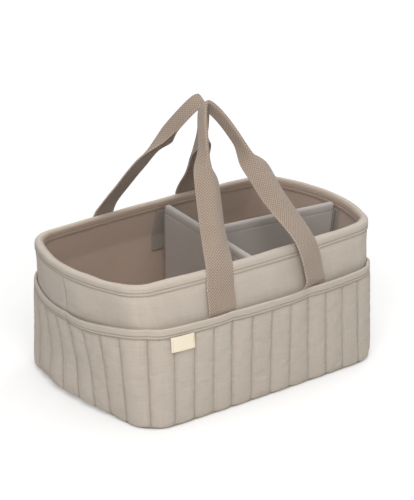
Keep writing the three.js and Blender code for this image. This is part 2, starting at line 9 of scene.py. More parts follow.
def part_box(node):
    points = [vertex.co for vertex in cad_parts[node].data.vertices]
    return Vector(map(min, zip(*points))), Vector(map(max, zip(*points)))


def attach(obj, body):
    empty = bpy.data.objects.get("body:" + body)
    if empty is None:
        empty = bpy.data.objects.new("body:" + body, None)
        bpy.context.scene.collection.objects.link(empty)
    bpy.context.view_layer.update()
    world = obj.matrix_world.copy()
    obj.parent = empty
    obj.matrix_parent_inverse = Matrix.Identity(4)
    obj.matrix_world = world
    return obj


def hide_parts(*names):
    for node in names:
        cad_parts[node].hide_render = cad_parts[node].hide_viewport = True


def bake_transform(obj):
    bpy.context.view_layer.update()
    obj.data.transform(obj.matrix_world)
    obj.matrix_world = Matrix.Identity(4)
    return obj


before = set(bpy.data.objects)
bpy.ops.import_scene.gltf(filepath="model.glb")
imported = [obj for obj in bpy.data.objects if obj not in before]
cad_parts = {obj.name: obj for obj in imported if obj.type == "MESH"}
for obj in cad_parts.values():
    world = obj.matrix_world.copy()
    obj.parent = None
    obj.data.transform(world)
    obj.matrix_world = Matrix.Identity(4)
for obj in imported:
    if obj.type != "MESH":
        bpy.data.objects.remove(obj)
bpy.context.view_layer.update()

bl_info = {
    "name": "Nursery Organizer",
    "version": (1, 0, 0),
    "blender": (4, 5, 0),
    "location": "3D View > Sidebar > Organizer",
    "description": "Sews a quilted fabric organizer with lift-out dividers and webbing handles",
    "category": "Add Mesh",
}

MM = 0.001
HALVES = ((-1, "front"), (1, "back"))

# The wall's outer face at the ground, at the top of the pockets and at the rim: half length, half
# width, corner radius and how far the middle of an end and of a long side bow out
HEIGHTS = np.array([0, 122, 171]) * MM
HALF_LENGTHS = np.array([170, 164.5, 171.5]) * MM
HALF_WIDTHS = np.array([124, 113, 102.6]) * MM
CORNER_RADII = np.array([33, 20, 19]) * MM
END_BOWS = np.array([8, 31, 28.5]) * MM
SIDE_BOWS = np.array([2, 11, 7.6]) * MM
POCKET_TOP = 122 * MM
RIM_TOP = 171 * MM

# Layers of the wall, as depths outwards from the outer face of the canvas, how long the lining is as
# a share of the canvas, half the gap of an end's seam, and heights
CANVAS = 1.2 * MM
FOAM_OUTER = -1.5 * MM
FOAM_INNER = -5.5 * MM
LINING_OUTER = -5.8 * MM
LINING_INNER = -6.7 * MM
HEM_INNER = -8.2 * MM
LINING_SHARE = 0.97
HALF_SEAM = 0.15 * MM
WALL_BOTTOM = 2.1 * MM
WALL_TOP = 166.3 * MM
RIM_HEM_BOTTOM = 158.5 * MM
FLOOR_LINING = (5.4 * MM, 6.6 * MM)

# Metres once round the tub, near enough to space points by
ROUND_TRIP = 1.1

# Pockets: how far their mouths stand off the wall, the panel's cloth and the hem
SIDE_MOUTH = 5.8 * MM
LEFT_MOUTH = 3.6 * MM
BACK_LEFT_MOUTH = 0.9 * MM
RIGHT_MOUTH = 1 * MM
END_SAG = 7.4 * MM
BACK_SAG = 5.2 * MM
RIGHT_SAG = 4 * MM
FOOT_BULGE = 7 * MM
END_SLANT = 11 * MM
FRONT_SLANT = 3.8 * MM
SEAM_TUCK = 2.55 * MM
CORNER_TUCK = 0.35 * MM
POCKET_SEAM_X = 55.5 * MM
CHANNELS = 4
QUILT = 2 * MM
POCKET_HEM_BOTTOM = 110 * MM
POCKET_HEM_THICKNESS = 3.2 * MM

# Handles: the way of the strap seen from the side and seen square to its lean
WEBBING_WIDTH = 38 * MM
WEBBING_THICKNESS = 1.8 * MM
TAIL_BOTTOM = 86.3 * MM
HANDLE_ROOT = 122.8 * MM
HANDLE_SPACING = 69 * MM
HANDLE_CLEARANCE = 3.1 * MM
TWIST_HEIGHTS = (115 * MM, 134 * MM)
FOLD_ANGLE = math.radians(92)
SOFT_BEND = 13 * MM
TIGHT_BEND = 2.4 * MM
FOLD_STEPS = 240
CREST_SHARE = 0.46
GRIP_SEAM = 15.2 * MM
ARCH_START = 150 * MM
ARCH_INSET = 12 * MM

# Dividers, turned about the point where they meet
DIVIDER_PLACE = Vector((8 * MM, 5 * MM, 0))
DIVIDER_SKEW = math.radians(-7)
DIVIDER_HALF = 4.2 * MM
DIVIDER_BOTTOM = 6.9 * MM
DIVIDER_TOP = 166 * MM
DIVIDER_SEAM = 10 * MM
TAPE_PILE = 0.12 * MM


def display_colour(red, green, blue):
    """A linear colour from the three display values of 0 to 255."""
    shares = [v / 255 for v in (red, green, blue)]
    return tuple(s / 12.92 if s <= 0.04045 else ((s + 0.055) / 1.055) ** 2.4 for s in shares)


def smooth(x, low, high):
    """A smooth step from 0 at low to 1 at high."""
    t = np.clip((x - low) / (high - low), 0, 1)
    return t * t * (3 - 2 * t)


def hump(x, middle, width):
    """A round hump of height 1."""
    return np.exp(-(((x - middle) / width) ** 2))


def quarter_round(share):
    """Rises from 0 to 1 as share does, along a quarter circle."""
    return np.sqrt(1 - (1 - np.clip(share, 0, 1)) ** 2)


def ripple(along, up, seed, length, ratio=1.0, waves=7):
    """Soft irregular waves between about -1 and 1; length is the main one's, ratio stretches it upwards."""
    draw = np.random.default_rng(seed)
    total = np.zeros(np.broadcast(along, up).shape)
    for _ in range(waves):
        turn = draw.uniform(0, math.pi)
        pitch = length * draw.uniform(0.6, 1.7)
        phase = draw.uniform(0, math.tau)
        total += np.sin(math.tau * (along * math.cos(turn) + up * math.sin(turn) / ratio) / pitch + phase)
    return total / math.sqrt(waves)


class Wall:
    """The tub's wall as a surface. v is 0 at the middle of a long side, 0.5 at a corner and 1 at the
    middle of an end, with the sign of X; side is -1 for the front half and 1 for the back half."""

    @staticmethod
    def plan(z):
        """Half length, half width, corner radius, end bow and side bow at a height."""
        rows = (HALF_LENGTHS, HALF_WIDTHS, CORNER_RADII, END_BOWS, SIDE_BOWS)
        return [np.interp(z, HEIGHTS, row) for row in rows]

    @staticmethod
    def side_run(z):
        """Metres from the middle of a long side to the middle of a corner."""
        a, _, r, _, _ = Wall.plan(z)
        return a - r + r * math.pi / 4

    @staticmethod
    def end_run(z):
        """Metres from the middle of an end to the middle of a corner."""
        _, b, r, _, _ = Wall.plan(z)
        return b - r + r * math.pi / 4

    @staticmethod
    def quarter(q, z):
        """The quarter of the outline where x and y are positive. q runs from 0 at the middle of the
        end to 1 at the middle of the side."""
        a, b, r, end_bow, side_bow = Wall.plan(z)
        end = q <= 0.5
        run = np.where(end, q / 0.5 * Wall.end_run(z), (1 - q) / 0.5 * Wall.side_run(z))
        turn = np.maximum(0, run - np.where(end, b - r, a - r)) / r
        x_end = a - r + r * np.cos(turn)
        y_end = np.where(turn > 0, b - r + r * np.sin(turn), run)
        x_side = np.where(turn > 0, a - r + r * np.sin(turn), run)
        y_side = b - r + r * np.cos(turn)
        x, y = np.where(end, x_end, x_side), np.where(end, y_end, y_side)
        return x + end_bow * (x / a) * (1 - (y / b) ** 2), y + side_bow * (y / b) * (1 - (x / a) ** 2)

    @staticmethod
    def points(v, side, z, depth):
        """Points at a depth outwards from the wall's outer face."""
        v, side, z, depth = np.broadcast_arrays(v, side, z, depth)
        q, step = 1 - np.abs(v), 1e-4
        x, y = Wall.quarter(q, z)
        x_on, y_on = Wall.quarter(np.minimum(1, q + step), z)
        x_off, y_off = Wall.quarter(q - step, z)
        reach = np.hypot(x_on - x_off, y_on - y_off)
        x = x + (y_on - y_off) / reach * depth
        y = y - (x_on - x_off) / reach * depth
        return np.stack([np.where(v < 0, -x, x), side * y, z], axis=-1)

    @staticmethod
    def place(x):
        """The way-round value of a point of a long side."""
        return 0.5 * x / Wall.side_run(POCKET_TOP)

    @staticmethod
    def run(v):
        """Metres along the cloth from the middle of the long side to v, at the pocket's top."""
        side, end = Wall.side_run(POCKET_TOP), Wall.end_run(POCKET_TOP)
        away = np.abs(v)
        return np.sign(v) * (np.minimum(away, 0.5) / 0.5 * side + np.maximum(away - 0.5, 0) / 0.5 * end)

    @staticmethod
    def around(way):
        """v and side from a way round of 0 to 4: 0 is the front's middle and 1 the right end's."""
        way = np.mod(way, 4)
        v = np.select([way <= 1, way <= 3], [way, 2 - way], way - 4)
        return v, np.where((way < 1) | (way > 3), -1.0, 1.0)


SHELL_END = 1 - 0.5 * HALF_SEAM / Wall.end_run(RIM_TOP)
SHELL_RUN = Wall.run(np.array([SHELL_END]))[0]
POCKET_SEAM = Wall.place(POCKET_SEAM_X)


def even_places(spacing, low=-SHELL_END, high=SHELL_END):
    """Way-round values whose points lie about spacing apart."""
    fine = np.linspace(low, high, 4001)
    run = Wall.run(fine)
    count = max(2, int((run[-1] - run[0]) / spacing))
    return np.interp(np.linspace(run[0], run[-1], count + 1), run, fine)


def from_end_seam(v):
    """Metres along the pockets' tops to the seam in the middle of the nearer end."""
    return (1 - np.abs(v)) / 0.5 * Wall.end_run(POCKET_TOP)


def stand_off(v, side, z):
    """How far a pocket panel's inner face stands off the wall."""
    away = np.abs(v)
    middle, outer = away <= POCKET_SEAM, (away > POCKET_SEAM) & (away <= 0.5)
    span = (away - POCKET_SEAM) / (0.5 - POCKET_SEAM)
    t = np.select([middle, outer], [(away + POCKET_SEAM) / (2 * POCKET_SEAM), span], (away - 0.5) / 0.5)
    tuck = np.select([middle, outer], [SEAM_TUCK, SEAM_TUCK + (CORNER_TUCK - SEAM_TUCK) * span], CORNER_TUCK)
    end_mouth = np.where(v > 0, RIGHT_MOUTH, LEFT_MOUTH if side < 0 else BACK_LEFT_MOUTH)
    mouth = np.where(away > 0.5, end_mouth, SIDE_MOUTH)
    lobe = 1 - (2 * t - 1) ** 4
    opened = tuck + (mouth - tuck) * lobe
    return CORNER_TUCK + (opened - CORNER_TUCK) * np.clip(z / POCKET_TOP, 0, 1)


def sag(v, side):
    """How far the pockets' tops droop towards the middle of the ends, and past some corners more so."""
    away = np.abs(v)
    corner = BACK_SAG if side > 0 else RIGHT_SAG * (v > 0)
    return END_SAG * smooth(away, 0.5, 0.9) + corner * hump(away, 0.68, 0.17) * smooth(away, 0.48, 0.58)


def foot_bulge(v, side, z):
    """The wadding settles at the foot of the ends."""
    away = np.abs(v)
    spread = smooth(away, 0.55, 1) + 0.8 * (side > 0) * hump(away, 0.76, 0.18)
    return FOOT_BULGE * spread * hump(z, 12 * MM, 30 * MM) * smooth(z, 0, 9 * MM)


def slant(v, side, z):
    """How far the channels lean at their foot, in way-round values: at the left end towards the
    front, and to the right of the front's middle a little outwards."""
    share = smooth(-v, 0.6, 0.95) if side < 0 else smooth(-v, 0.5, 0.75)
    lean = -side * END_SLANT * 0.5 / Wall.end_run(POCKET_TOP) * share
    if side < 0:
        lean = lean + FRONT_SLANT * 0.5 / Wall.side_run(POCKET_TOP) * hump(v, 0.3, 0.17)
    return lean * (1 - np.clip(z / POCKET_TOP, 0, 1))


def channel_edges():
    """Way-round values of the quilting's seams, from the middle of the left end to that of the right."""
    middle = np.linspace(-POCKET_SEAM, POCKET_SEAM, CHANNELS + 1)
    outer = np.linspace(POCKET_SEAM, 0.5, CHANNELS + 1)[1:]
    end = np.linspace(0.5, SHELL_END, CHANNELS + 1)[1:]
    right = np.concatenate([outer, end])
    return np.concatenate([-right[::-1], middle, right])


def mesh_object(name, points, faces, weave=None):
    """A smooth mesh. weave holds, for each point, metres across the cloth, metres along it and a relief
    value that paints highlight onto spots that stand proud (1) and shade into sunk ones (-1)."""
    mesh = bpy.data.meshes.new(name)
    mesh.from_pydata(np.asarray(points).reshape(-1, 3).tolist(), [], faces)
    if weave is not None:
        layer = mesh.attributes.new("weave", "FLOAT_VECTOR", "POINT")
        layer.data.foreach_set("vector", np.asarray(weave, dtype=np.float32).ravel())
    mesh.shade_smooth()
    mesh.validate()
    obj = bpy.data.objects.new(name, mesh)
    bpy.context.scene.collection.objects.link(obj)
    return obj


def grid_faces(rows, columns):
    """Faces over a grid of points that is stored row by row."""
    faces = []
    for row in range(rows - 1):
        for column in range(columns - 1):
            p = row * columns + column
            faces.append((p, p + 1, p + columns + 1, p + columns))
    return faces


def ring_faces(rows, count):
    """Faces that join rings of count points, one above the other, and close both ends."""
    faces = []
    for row in range(rows - 1):
        for i in range(count):
            here, after = row * count + i, row * count + (i + 1) % count
            faces.append((here, after, after + count, here + count))
    faces.append(tuple(range(count))[::-1])
    faces.append(tuple((rows - 1) * count + i for i in range(count)))
    return faces


def loft_faces(rows, count, ringed):
    """Faces that join closed sections of count points. In a section the first half runs up one face
    of the cloth and the rest down the other, so that the ends close with a strip of faces."""
    faces = []
    for row in range(rows if ringed else rows - 1):
        here, after = row * count, (row + 1) % rows * count
        for i in range(count):
            j = (i + 1) % count
            faces.append((here + i, after + i, after + j, here + j))
    if not ringed:
        last = (rows - 1) * count
        for i in range(count // 2 - 1):
            across = count - 1 - i
            faces.append((i, i + 1, across - 1, across))
            faces.append((last + i, last + across, last + across - 1, last + i + 1))
    return faces


def outward(points, faces):
    """The faces, all turned over if the volume that they enclose comes out negative."""
    flat = np.asarray(points).reshape(-1, 3)
    volume = 0.0
    for size in sorted({len(face) for face in faces}):
        corners = flat[np.array([face for face in faces if len(face) == size])]
        for k in range(1, size - 1):
            volume += np.sum(corners[:, 0] * np.cross(corners[:, k], corners[:, k + 1]))
    return faces if volume > 0 else [face[::-1] for face in faces]


def loft(name, points, weave, ringed=False):
    """A closed cloth piece from rows of sections, points[row, i]."""
    rows, count = points.shape[:2]
    faces = outward(points, loft_faces(rows, count, ringed))
    return mesh_object(name, points, faces, weave.reshape(-1, 3))


def finish_piece(obj, finish, body, replaced=()):
    """Gives a piece its material, hides the solids that it stands for and sets the body that it rides."""
    obj.data.materials.append(FINISHES[finish])
    if replaced:
        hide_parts(*replaced)
    if body:
        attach(obj, body)
    return obj


def wall_cloth(name, v, side, rising, falling, relief_shade=0.0, ringed=False):
    """A cloth that follows the wall. rising and falling are (depth, z) arrays of [place, level] for
    the outer and the inner face, both from the bottom up; an edge is rounded between them."""
    depth = np.concatenate([rising[0], falling[0][:, ::-1]], axis=1)
    z = np.concatenate([rising[1], falling[1][:, ::-1]], axis=1)
    side = np.asarray(side)[..., None] if np.ndim(side) else side
    points = Wall.points(v[:, None], side, z, depth)
    along = Wall.run(v)[:, None] + np.zeros_like(z)
    high = np.zeros_like(z)
    high[:, : rising[1].shape[1]] = relief_shade
    return loft(name, points, np.stack([along, z, high], axis=-1), ringed)


def level_rows(bottom, top, count, round_off, places):
    """Levels with finer steps at both edges, the same at every place."""
    edge = round_off * np.array([0, 0.12, 0.45, 1])
    inner = np.linspace(bottom + round_off, top - round_off, count)[1:-1]
    levels = np.concatenate([bottom + edge, inner, top - edge[::-1]])
    return np.broadcast_to(levels, (places, len(levels)))


def edge_round(z, bottom, top, round_off):
    """0 at both edges of a cloth and 1 from round_off inwards, as a quarter circle."""
    return quarter_round(np.minimum(z - bottom, top - z) / round_off)


def sheet_faces(z_rows, outer, inner, round_off):
    """Both faces of a cloth of even thickness with rounded edges."""
    bottom, top = z_rows[:, :1], z_rows[:, -1:]
    middle, half = (outer + inner) / 2, (outer - inner) / 2
    full = edge_round(z_rows, bottom, top, round_off)
    return (middle + half * full, z_rows), (middle - half * full, z_rows)


def stitches(path, normals, length=2.6 * MM, gap=0.9 * MM, radius=0.24 * MM):
    """A row of lockstitches along a path of points; each is a short bead half sunk in the cloth."""
    steps = np.linalg.norm(np.diff(path, axis=0), axis=1)
    run = np.concatenate([[0], np.cumsum(steps)])
    count = int(run[-1] / (length + gap))
    starts = (np.arange(count) + 0.12) * run[-1] / count
    shares = np.array([0, 0.12, 0.5, 0.88, 1])
    swell = np.array([0.35, 0.8, 1, 0.8, 0.35])
    sides = 6
    at = starts[:, None] + shares[None, :] * length
    centre = np.stack([np.interp(at, run, path[:, k]) for k in range(3)], axis=-1)
    up = np.stack([np.interp(at, run, normals[:, k]) for k in range(3)], axis=-1)
    up /= np.linalg.norm(up, axis=-1, keepdims=True)
    flow = centre[:, -1:] - centre[:, :1]
    flow = np.broadcast_to(flow / np.linalg.norm(flow, axis=-1, keepdims=True), up.shape)
    aside = np.cross(flow, up)
    lift = radius * (np.sin(math.pi * shares) - 0.35)[None, :, None]
    angle = np.arange(sides) / sides * math.tau
    ring = aside[..., None, :] * np.cos(angle)[:, None] + up[..., None, :] * np.sin(angle)[:, None]
    points = (centre + up * lift)[..., None, :] + ring * (radius * swell)[None, :, None, None]
    bead = ring_faces(len(shares), sides)
    starts = range(0, count * len(shares) * sides, len(shares) * sides)
    return points.reshape(-1, 3), [tuple(start + i for i in face) for start in starts for face in bead]


def thread_object(name, rows, body):
    """One object from several rows of stitches."""
    points, faces, base = [], [], 0
    for row_points, row_faces in rows:
        points.append(row_points)
        faces.extend(tuple(base + i for i in face) for face in row_faces)
        base += len(row_points)
    return finish_piece(mesh_object(name, np.concatenate(points), faces), "thread", body)


def wall_row(v, side, z, depth):
    """A path along the wall and its outward normals, for stitches."""
    path = Wall.points(v, side, z, depth)
    out = Wall.points(v, side, z, np.asarray(depth) + MM) - path
    return path, out / MM


class Shade:
    """A value in a node tree. Arithmetic on it adds the Math nodes that work it out."""

    def __init__(self, tree, socket):
        self.tree = tree
        self.socket = socket

    def math(self, operation, *others, clamp=False):
        inputs = dict(enumerate((self, *others)))
        node = self.tree.node("ShaderNodeMath", {"operation": operation, "use_clamp": clamp}, inputs)
        return Shade(self.tree, node.outputs[0])

    def swapped(self, operation, other):
        node = self.tree.node("ShaderNodeMath", {"operation": operation}, {0: other, 1: self})
        return Shade(self.tree, node.outputs[0])

    def __add__(self, other):
        return self.math("ADD", other)

    def __sub__(self, other):
        return self.math("SUBTRACT", other)

    def __rsub__(self, other):
        return self.swapped("SUBTRACT", other)

    def __mul__(self, other):
        return self.math("MULTIPLY", other)

    def __truediv__(self, other):
        return self.math("DIVIDE", other)

    def __rtruediv__(self, other):
        return self.swapped("DIVIDE", other)

    __radd__ = __add__
    __rmul__ = __mul__

    def sine(self):
        return self.math("SINE")

    def size(self):
        return self.math("ABSOLUTE")

    def floor(self):
        return self.math("FLOOR")

    def at_least(self, low):
        return self.math("MAXIMUM", low)

    def clamped(self):
        return self.math("ADD", 0.0, clamp=True)


class NodeTree:
    """The nodes of a material or a world, added and joined up with one method."""

    def __init__(self, tree):
        self.nodes = tree.nodes
        self.links = tree.links

    def node(self, kind, settings=None, inputs=None):
        """A node of a kind: its settings are set first, then its inputs are given values or links."""
        node = self.nodes.new(kind)
        for key, value in (settings or {}).items():
            setattr(node, key, value)
        for key, value in (inputs or {}).items():
            self.feed(node.inputs[key], value)
        return node

    def feed(self, socket, value):
        if isinstance(value, Shade):
            self.links.new(value.socket, socket)
        elif isinstance(value, bpy.types.NodeSocket):
            self.links.new(value, socket)
        else:
            socket.default_value = value

    def mixed(self, factor, first, second):
        """Two colours mixed by a factor."""
        node = self.node("ShaderNodeMix", {"data_type": "RGBA"}, {0: factor, 6: first, 7: second})
        return node.outputs[2]

    def seen(self):
        """1 for what the camera sees itself, in a shine or through cloth, and 0 for the light it gives."""
        path = self.node("ShaderNodeLightPath")
        camera, glossy, through = (
            Shade(self, path.outputs[f"Is {kind} Ray"]) for kind in ("Camera", "Glossy", "Transmission")
        )
        return (camera + glossy + through).clamped()


class Finish(NodeTree):
    """A material that is built up from nodes around one Principled shader."""

    def __init__(self, name):
        self.material = bpy.data.materials.new(name)
        self.material.use_nodes = True
        super().__init__(self.material.node_tree)
        self.shader = self.nodes["Principled BSDF"]

    def weave(self):
        """The cloth's own coordinates, metres across and along, and the relief value that paints highlight
        and shade.
        """
        source = self.node("ShaderNodeAttribute", {"attribute_name": "weave"})
        return self.parts(source.outputs["Vector"])

    def parts(self, vector):
        """A vector's x, y and z."""
        node = self.node("ShaderNodeSeparateXYZ", inputs={0: vector})
        return [Shade(self, socket) for socket in node.outputs]

    def vector(self, x, y, z=0.0):
        return self.node("ShaderNodeCombineXYZ", inputs={0: x, 1: y, 2: z}).outputs[0]

    def noise(self, vector, scale, detail=2.0, roughness=0.5):
        inputs = {"Vector": vector, "Scale": scale, "Detail": detail, "Roughness": roughness}
        return Shade(self, self.node("ShaderNodeTexNoise", inputs=inputs).outputs[0])

    def place(self):
        """Where the spot lies on its object, in metres."""
        return self.node("ShaderNodeTexCoord").outputs["Object"]

    def bump(self, height, distance, strength=1.0):
        inputs = {"Height": height, "Distance": distance, "Strength": strength}
        return self.node("ShaderNodeBump", inputs=inputs).outputs["Normal"]

    def set(self, **values):
        """Feeds the shader's sockets, which are named with _ for a space."""
        for key, value in values.items():
            self.feed(self.shader.inputs[key.replace("_", " ")], value)
        return self.material


def scaled(colour, factor):
    """A paler or darker colour, with full alpha."""
    return (*[min(1.0, c * factor) for c in colour], 1)


def plain_weave(u, v, pitch):
    """The height of a plain weave, one thread over and one under, and 1 where the first lies over."""
    over = ((u / pitch).floor() + (v / pitch).floor()) * 0.5
    over = (over - over.floor()) * 2
    across = (u * (math.pi / pitch)).sine().size()
    along = (v * (math.pi / pitch)).sine().size()
    return over * across + (1 - over) * along, over


def cloth_finish(
    name, colour, pitch, depth, heather=0.06, fade=0.05, roughness=0.92, inside=None, spread=0.38
):
    """Woven cloth: threads, streaks along both of them, broad fading, painted highlight where the cloth
    stands proud and painted shade where it sinks. inside is a darker, browner colour painted as shade on the
    far side of a fold."""
    finish = Finish(name)
    u, v, relief_shade = finish.weave()
    height, over = plain_weave(u, v, pitch)
    fine, weft_length, warp_length = 800, 45, 35
    weft = finish.noise(finish.vector(u * weft_length, v * fine), 1.0, 2.0)
    warp = finish.noise(finish.vector(u * fine, v * warp_length), 1.0, 2.0)
    broad = finish.noise(finish.place(), 14.0, 3.0)
    tone = (weft - 0.5) * (5 * heather) + (warp - 0.5) * (3.5 * heather) + (broad - 0.5) * fade * 2
    # The relief value paints shade into grooves, seams and hollows and highlight onto crests and bulges; the
    # weave's height paints faint shade between the threads
    tone = tone + relief_shade.at_least(-2.5) * 0.085 + (over - 0.5) * 0.03 + (height - 0.6) * 0.05 + 0.5
    shade = finish.mixed(tone.clamped(), scaled(colour, 1 - spread), scaled(colour, 1 + spread))
    # The far side of a fold, where the relief value drops below -3, is painted in the inside colour as shade
    if inside:
        inside_shade_mask = (relief_shade * -1.0 - 3.0).clamped()
        shade = finish.mixed(inside_shade_mask, shade, (*inside, 1))
    grain = height * 0.7 + weft * 0.5 + warp * 0.3
    rough = (height - 0.5) * -0.06 + (broad - 0.5) * 0.06 + roughness
    return finish.set(
        Base_Color=shade,
        Roughness=rough,
        Normal=finish.bump(grain, depth),
        Sheen_Weight=0.25,
        Sheen_Roughness=0.6,
        Specular_IOR_Level=0.25,
    )


def webbing_finish(name, light, dark, pitch):
    """Coarse cotton webbing: paler float threads over darker ones in a chequered basket weave, with painted
    highlight on each float's crown and painted shade in the gaps.
    """
    finish = Finish(name)
    u, v, relief_shade = finish.weave()
    height, over = plain_weave(u, v, pitch)
    dome = (u * (math.pi / pitch)).sine().size() * (v * (math.pi / pitch)).sine().size()
    strand = finish.noise(finish.vector(u * 900, v * 900), 1.0, 3.0)
    broad = finish.noise(finish.place(), 22.0, 3.0)
    # dome paints highlight on the crown of each float and height paints shade in the gaps; the relief value
    # paints highlight along the selvedges
    tone = over * dome * 0.75 + height * 0.28 + (strand - 0.5) * 0.35 + (broad - 0.5) * 0.25 + relief_shade * 0.12
    shade = finish.mixed(tone.clamped(), (*dark, 1), (*light, 1))
    return finish.set(
        Base_Color=shade,
        Roughness=(strand - 0.5) * 0.1 + 0.88,
        Normal=finish.bump(height + over * dome * 0.8, 0.35 * MM),
        Sheen_Weight=0.3,
        Sheen_Roughness=0.5,
        Specular_IOR_Level=0.25,
    )


def fibre_finish(name, colour, scale, depth, contrast=0.3, roughness=0.95):
    """Felt, pile or yarn: a tangle of short fibres with no weave."""
    finish = Finish(name)
    place = finish.place()
    tangle = finish.noise(place, scale, 6.0, 0.7)
    broad = finish.noise(place, scale * 0.08, 2.0)
    tone = (tangle - 0.5) * (2.4 * contrast) + (broad - 0.5) * 0.2 + 0.5
    shade = finish.mixed(tone.clamped(), scaled(colour, 0.6), scaled(colour, 1.4))
    return finish.set(
        Base_Color=shade,
        Roughness=(tangle - 0.5) * 0.1 + roughness,
        Normal=finish.bump(tangle, depth),
        Sheen_Weight=0.4,
        Specular_IOR_Level=0.2,
    )


def board_finish(name, colour):
    """Pressed plastic board: fine grain, faint scuffs and a dull shine."""
    finish = Finish(name)
    place = finish.place()
    grain = finish.noise(place, 900.0, 3.0)
    scuff = finish.noise(place, 60.0, 5.0, 0.65)
    worn = ((scuff - 0.58) * 6).clamped()
    shade = finish.mixed(worn * 0.35 + (grain - 0.5) * 0.2, (*colour, 1), scaled(colour, 2.2))
    return finish.set(
        Base_Color=shade,
        Roughness=(grain - 0.5) * 0.15 + worn * 0.15 + 0.5,
        Normal=finish.bump(grain + worn * 0.4, 0.08 * MM),
    )


# The materials, once the first operators have run, under the names that the pieces ask for
FINISHES = {}


class ClothSettings(bpy.types.PropertyGroup):
    """Colours of the cloths."""

    canvas: FloatVectorProperty(
        name="Canvas", description="Outer canvas and quilted pockets", subtype="COLOR",
        default=display_colour(200, 188, 174), min=0, max=1,
    )
    lining: FloatVectorProperty(
        name="Lining", description="Smooth cloth inside the tub", subtype="COLOR",
        default=display_colour(183, 161, 145), min=0, max=1,
    )
    divider: FloatVectorProperty(
        name="Dividers", description="Covers of the lift-out dividers", subtype="COLOR",
        default=display_colour(180, 172, 166), min=0, max=1,
    )
    # Pale thread colour, which also carries the painted highlight on the floats' crowns
    webbing_float_and_highlight: FloatVectorProperty(
        name="Webbing, pale thread", description="Thread that floats on top", subtype="COLOR",
        default=display_colour(212, 194, 178), min=0, max=1,
    )
    # Dark thread colour, which also carries the painted shade in the gaps between the floats
    webbing_gap_and_shade: FloatVectorProperty(
        name="Webbing, dark thread", description="Thread that runs beneath", subtype="COLOR",
        default=display_colour(148, 128, 110), min=0, max=1,
    )
    label: FloatVectorProperty(
        name="Label", description="Plain woven tab", subtype="COLOR",
        default=display_colour(248, 234, 209), min=0, max=1,
    )
    thread_pitch: FloatProperty(
        name="Canvas thread", description="Width of one canvas thread", unit="LENGTH",
        default=0.75 * MM, min=0.2 * MM, max=3 * MM,
    )
    webbing_pitch: FloatProperty(
        name="Webbing thread", description="Width of one webbing thread", unit="LENGTH",
        default=1.75 * MM, min=0.5 * MM, max=5 * MM,
    )


class PocketSettings(bpy.types.PropertyGroup):
    """The quilted pockets."""

    puff: FloatProperty(
        name="Puff", description="How far a channel of the quilting swells", unit="LENGTH",
        default=1.5 * MM, min=0, max=4 * MM,
    )
    valley: FloatProperty(
        name="Valley", description="How deep the stitching pulls the quilting in", unit="LENGTH",
        default=1.35 * MM, min=0, max=1.6 * MM,
    )
    pressure: FloatProperty(
        name="Pressure", description="Push of the wadding in the cloth simulation",
        default=3.0, min=0, max=20,
    )
    frames: IntProperty(
        name="Frames", description="Length of the cloth simulation", default=14, min=2, max=60,
    )


class StageSettings(bpy.types.PropertyGroup):
    """The studio round the organizer."""

    azimuth: FloatProperty(
        name="Azimuth", description="Way round of the camera", subtype="ANGLE", default=math.radians(-37.35),
    )
    elevation: FloatProperty(
        name="Elevation", description="Height of the camera above the horizon", subtype="ANGLE",
        default=math.radians(22.65),
    )
    distance: FloatProperty(
        name="Distance", description="Camera to the middle of the organizer", unit="LENGTH", default=2.405,
    )
    lens: FloatProperty(
        name="Lens", description="Focal length in millimetres", default=145.1,
    )


def settings():
    """The settings that the sidebar shows."""
    return bpy.context.scene.nursery_organizer


class OrganizerSettings(bpy.types.PropertyGroup):
    """Everything that can be changed on the organizer."""

    cloth: PointerProperty(type=ClothSettings, name="Cloth", description="Colours and threads")
    pockets: PointerProperty(type=PocketSettings, name="Pockets", description="Quilted pockets")
    stage: PointerProperty(type=StageSettings, name="Stage", description="Camera and lamps")


class MakeFinishes(bpy.types.Operator):
    """Mix the materials that all the pieces share"""

    bl_idname = "nursery.make_finishes"
    bl_label = "Finishes"

    def execute(self, context):
        cloth = settings().cloth
        # The hem's inner face gets a darker, browner colour: painted shade, browned like the light bounced
        # off the lining inside the tub
        canvas, hem_inside_shade = tuple(cloth.canvas), display_colour(186, 164, 147)
        pitch, fine, label_pitch = cloth.thread_pitch, 0.5 * MM, 0.4 * MM
        light, dark = tuple(cloth.webbing_float_and_highlight), tuple(cloth.webbing_gap_and_shade)
        hem = scaled(canvas, 0.985)[:3]
        lining, divider, label = tuple(cloth.lining), tuple(cloth.divider), tuple(cloth.label)
        FINISHES.update(
            canvas=cloth_finish("canvas", canvas, pitch, 0.22 * MM),
            hem=cloth_finish("hem", hem, pitch, 0.2 * MM, 0.05, inside=hem_inside_shade),
            lining=cloth_finish("lining", lining, fine, 0.08 * MM, 0.04, 0.06, 0.85),
            divider=cloth_finish("divider", divider, fine, 0.08 * MM, 0.03, 0.05, 0.82),
            webbing=webbing_finish("webbing", light, dark, cloth.webbing_pitch),
            label=cloth_finish("label", label, label_pitch, 0.07 * MM, 0.08, 0.1, 0.8, spread=0.07),
            # The thread's brown is partly its own colour and partly painted shade of the dips that the
            # stitches sit in
            thread=fibre_finish("thread", display_colour(164, 141, 124), 2600.0, 0.05 * MM, 0.2, 0.8),
            felt=fibre_finish("felt", display_colour(228, 226, 220), 900.0, 0.25 * MM),
            tape=fibre_finish("tape", display_colour(150, 141, 131), 2200.0, 0.3 * MM, 0.4),
            board=board_finish("board", display_colour(119, 115, 110)),
        )
        return {"FINISHED"}


def floor_outline(plan_height, depth, spacing):
    """The tub's plan as a ring of points at a depth."""
    way = np.linspace(0, 4, int(ROUND_TRIP / spacing), endpoint=False)
    v, side = Wall.around(way)
    return Wall.points(v, side, plan_height, depth)


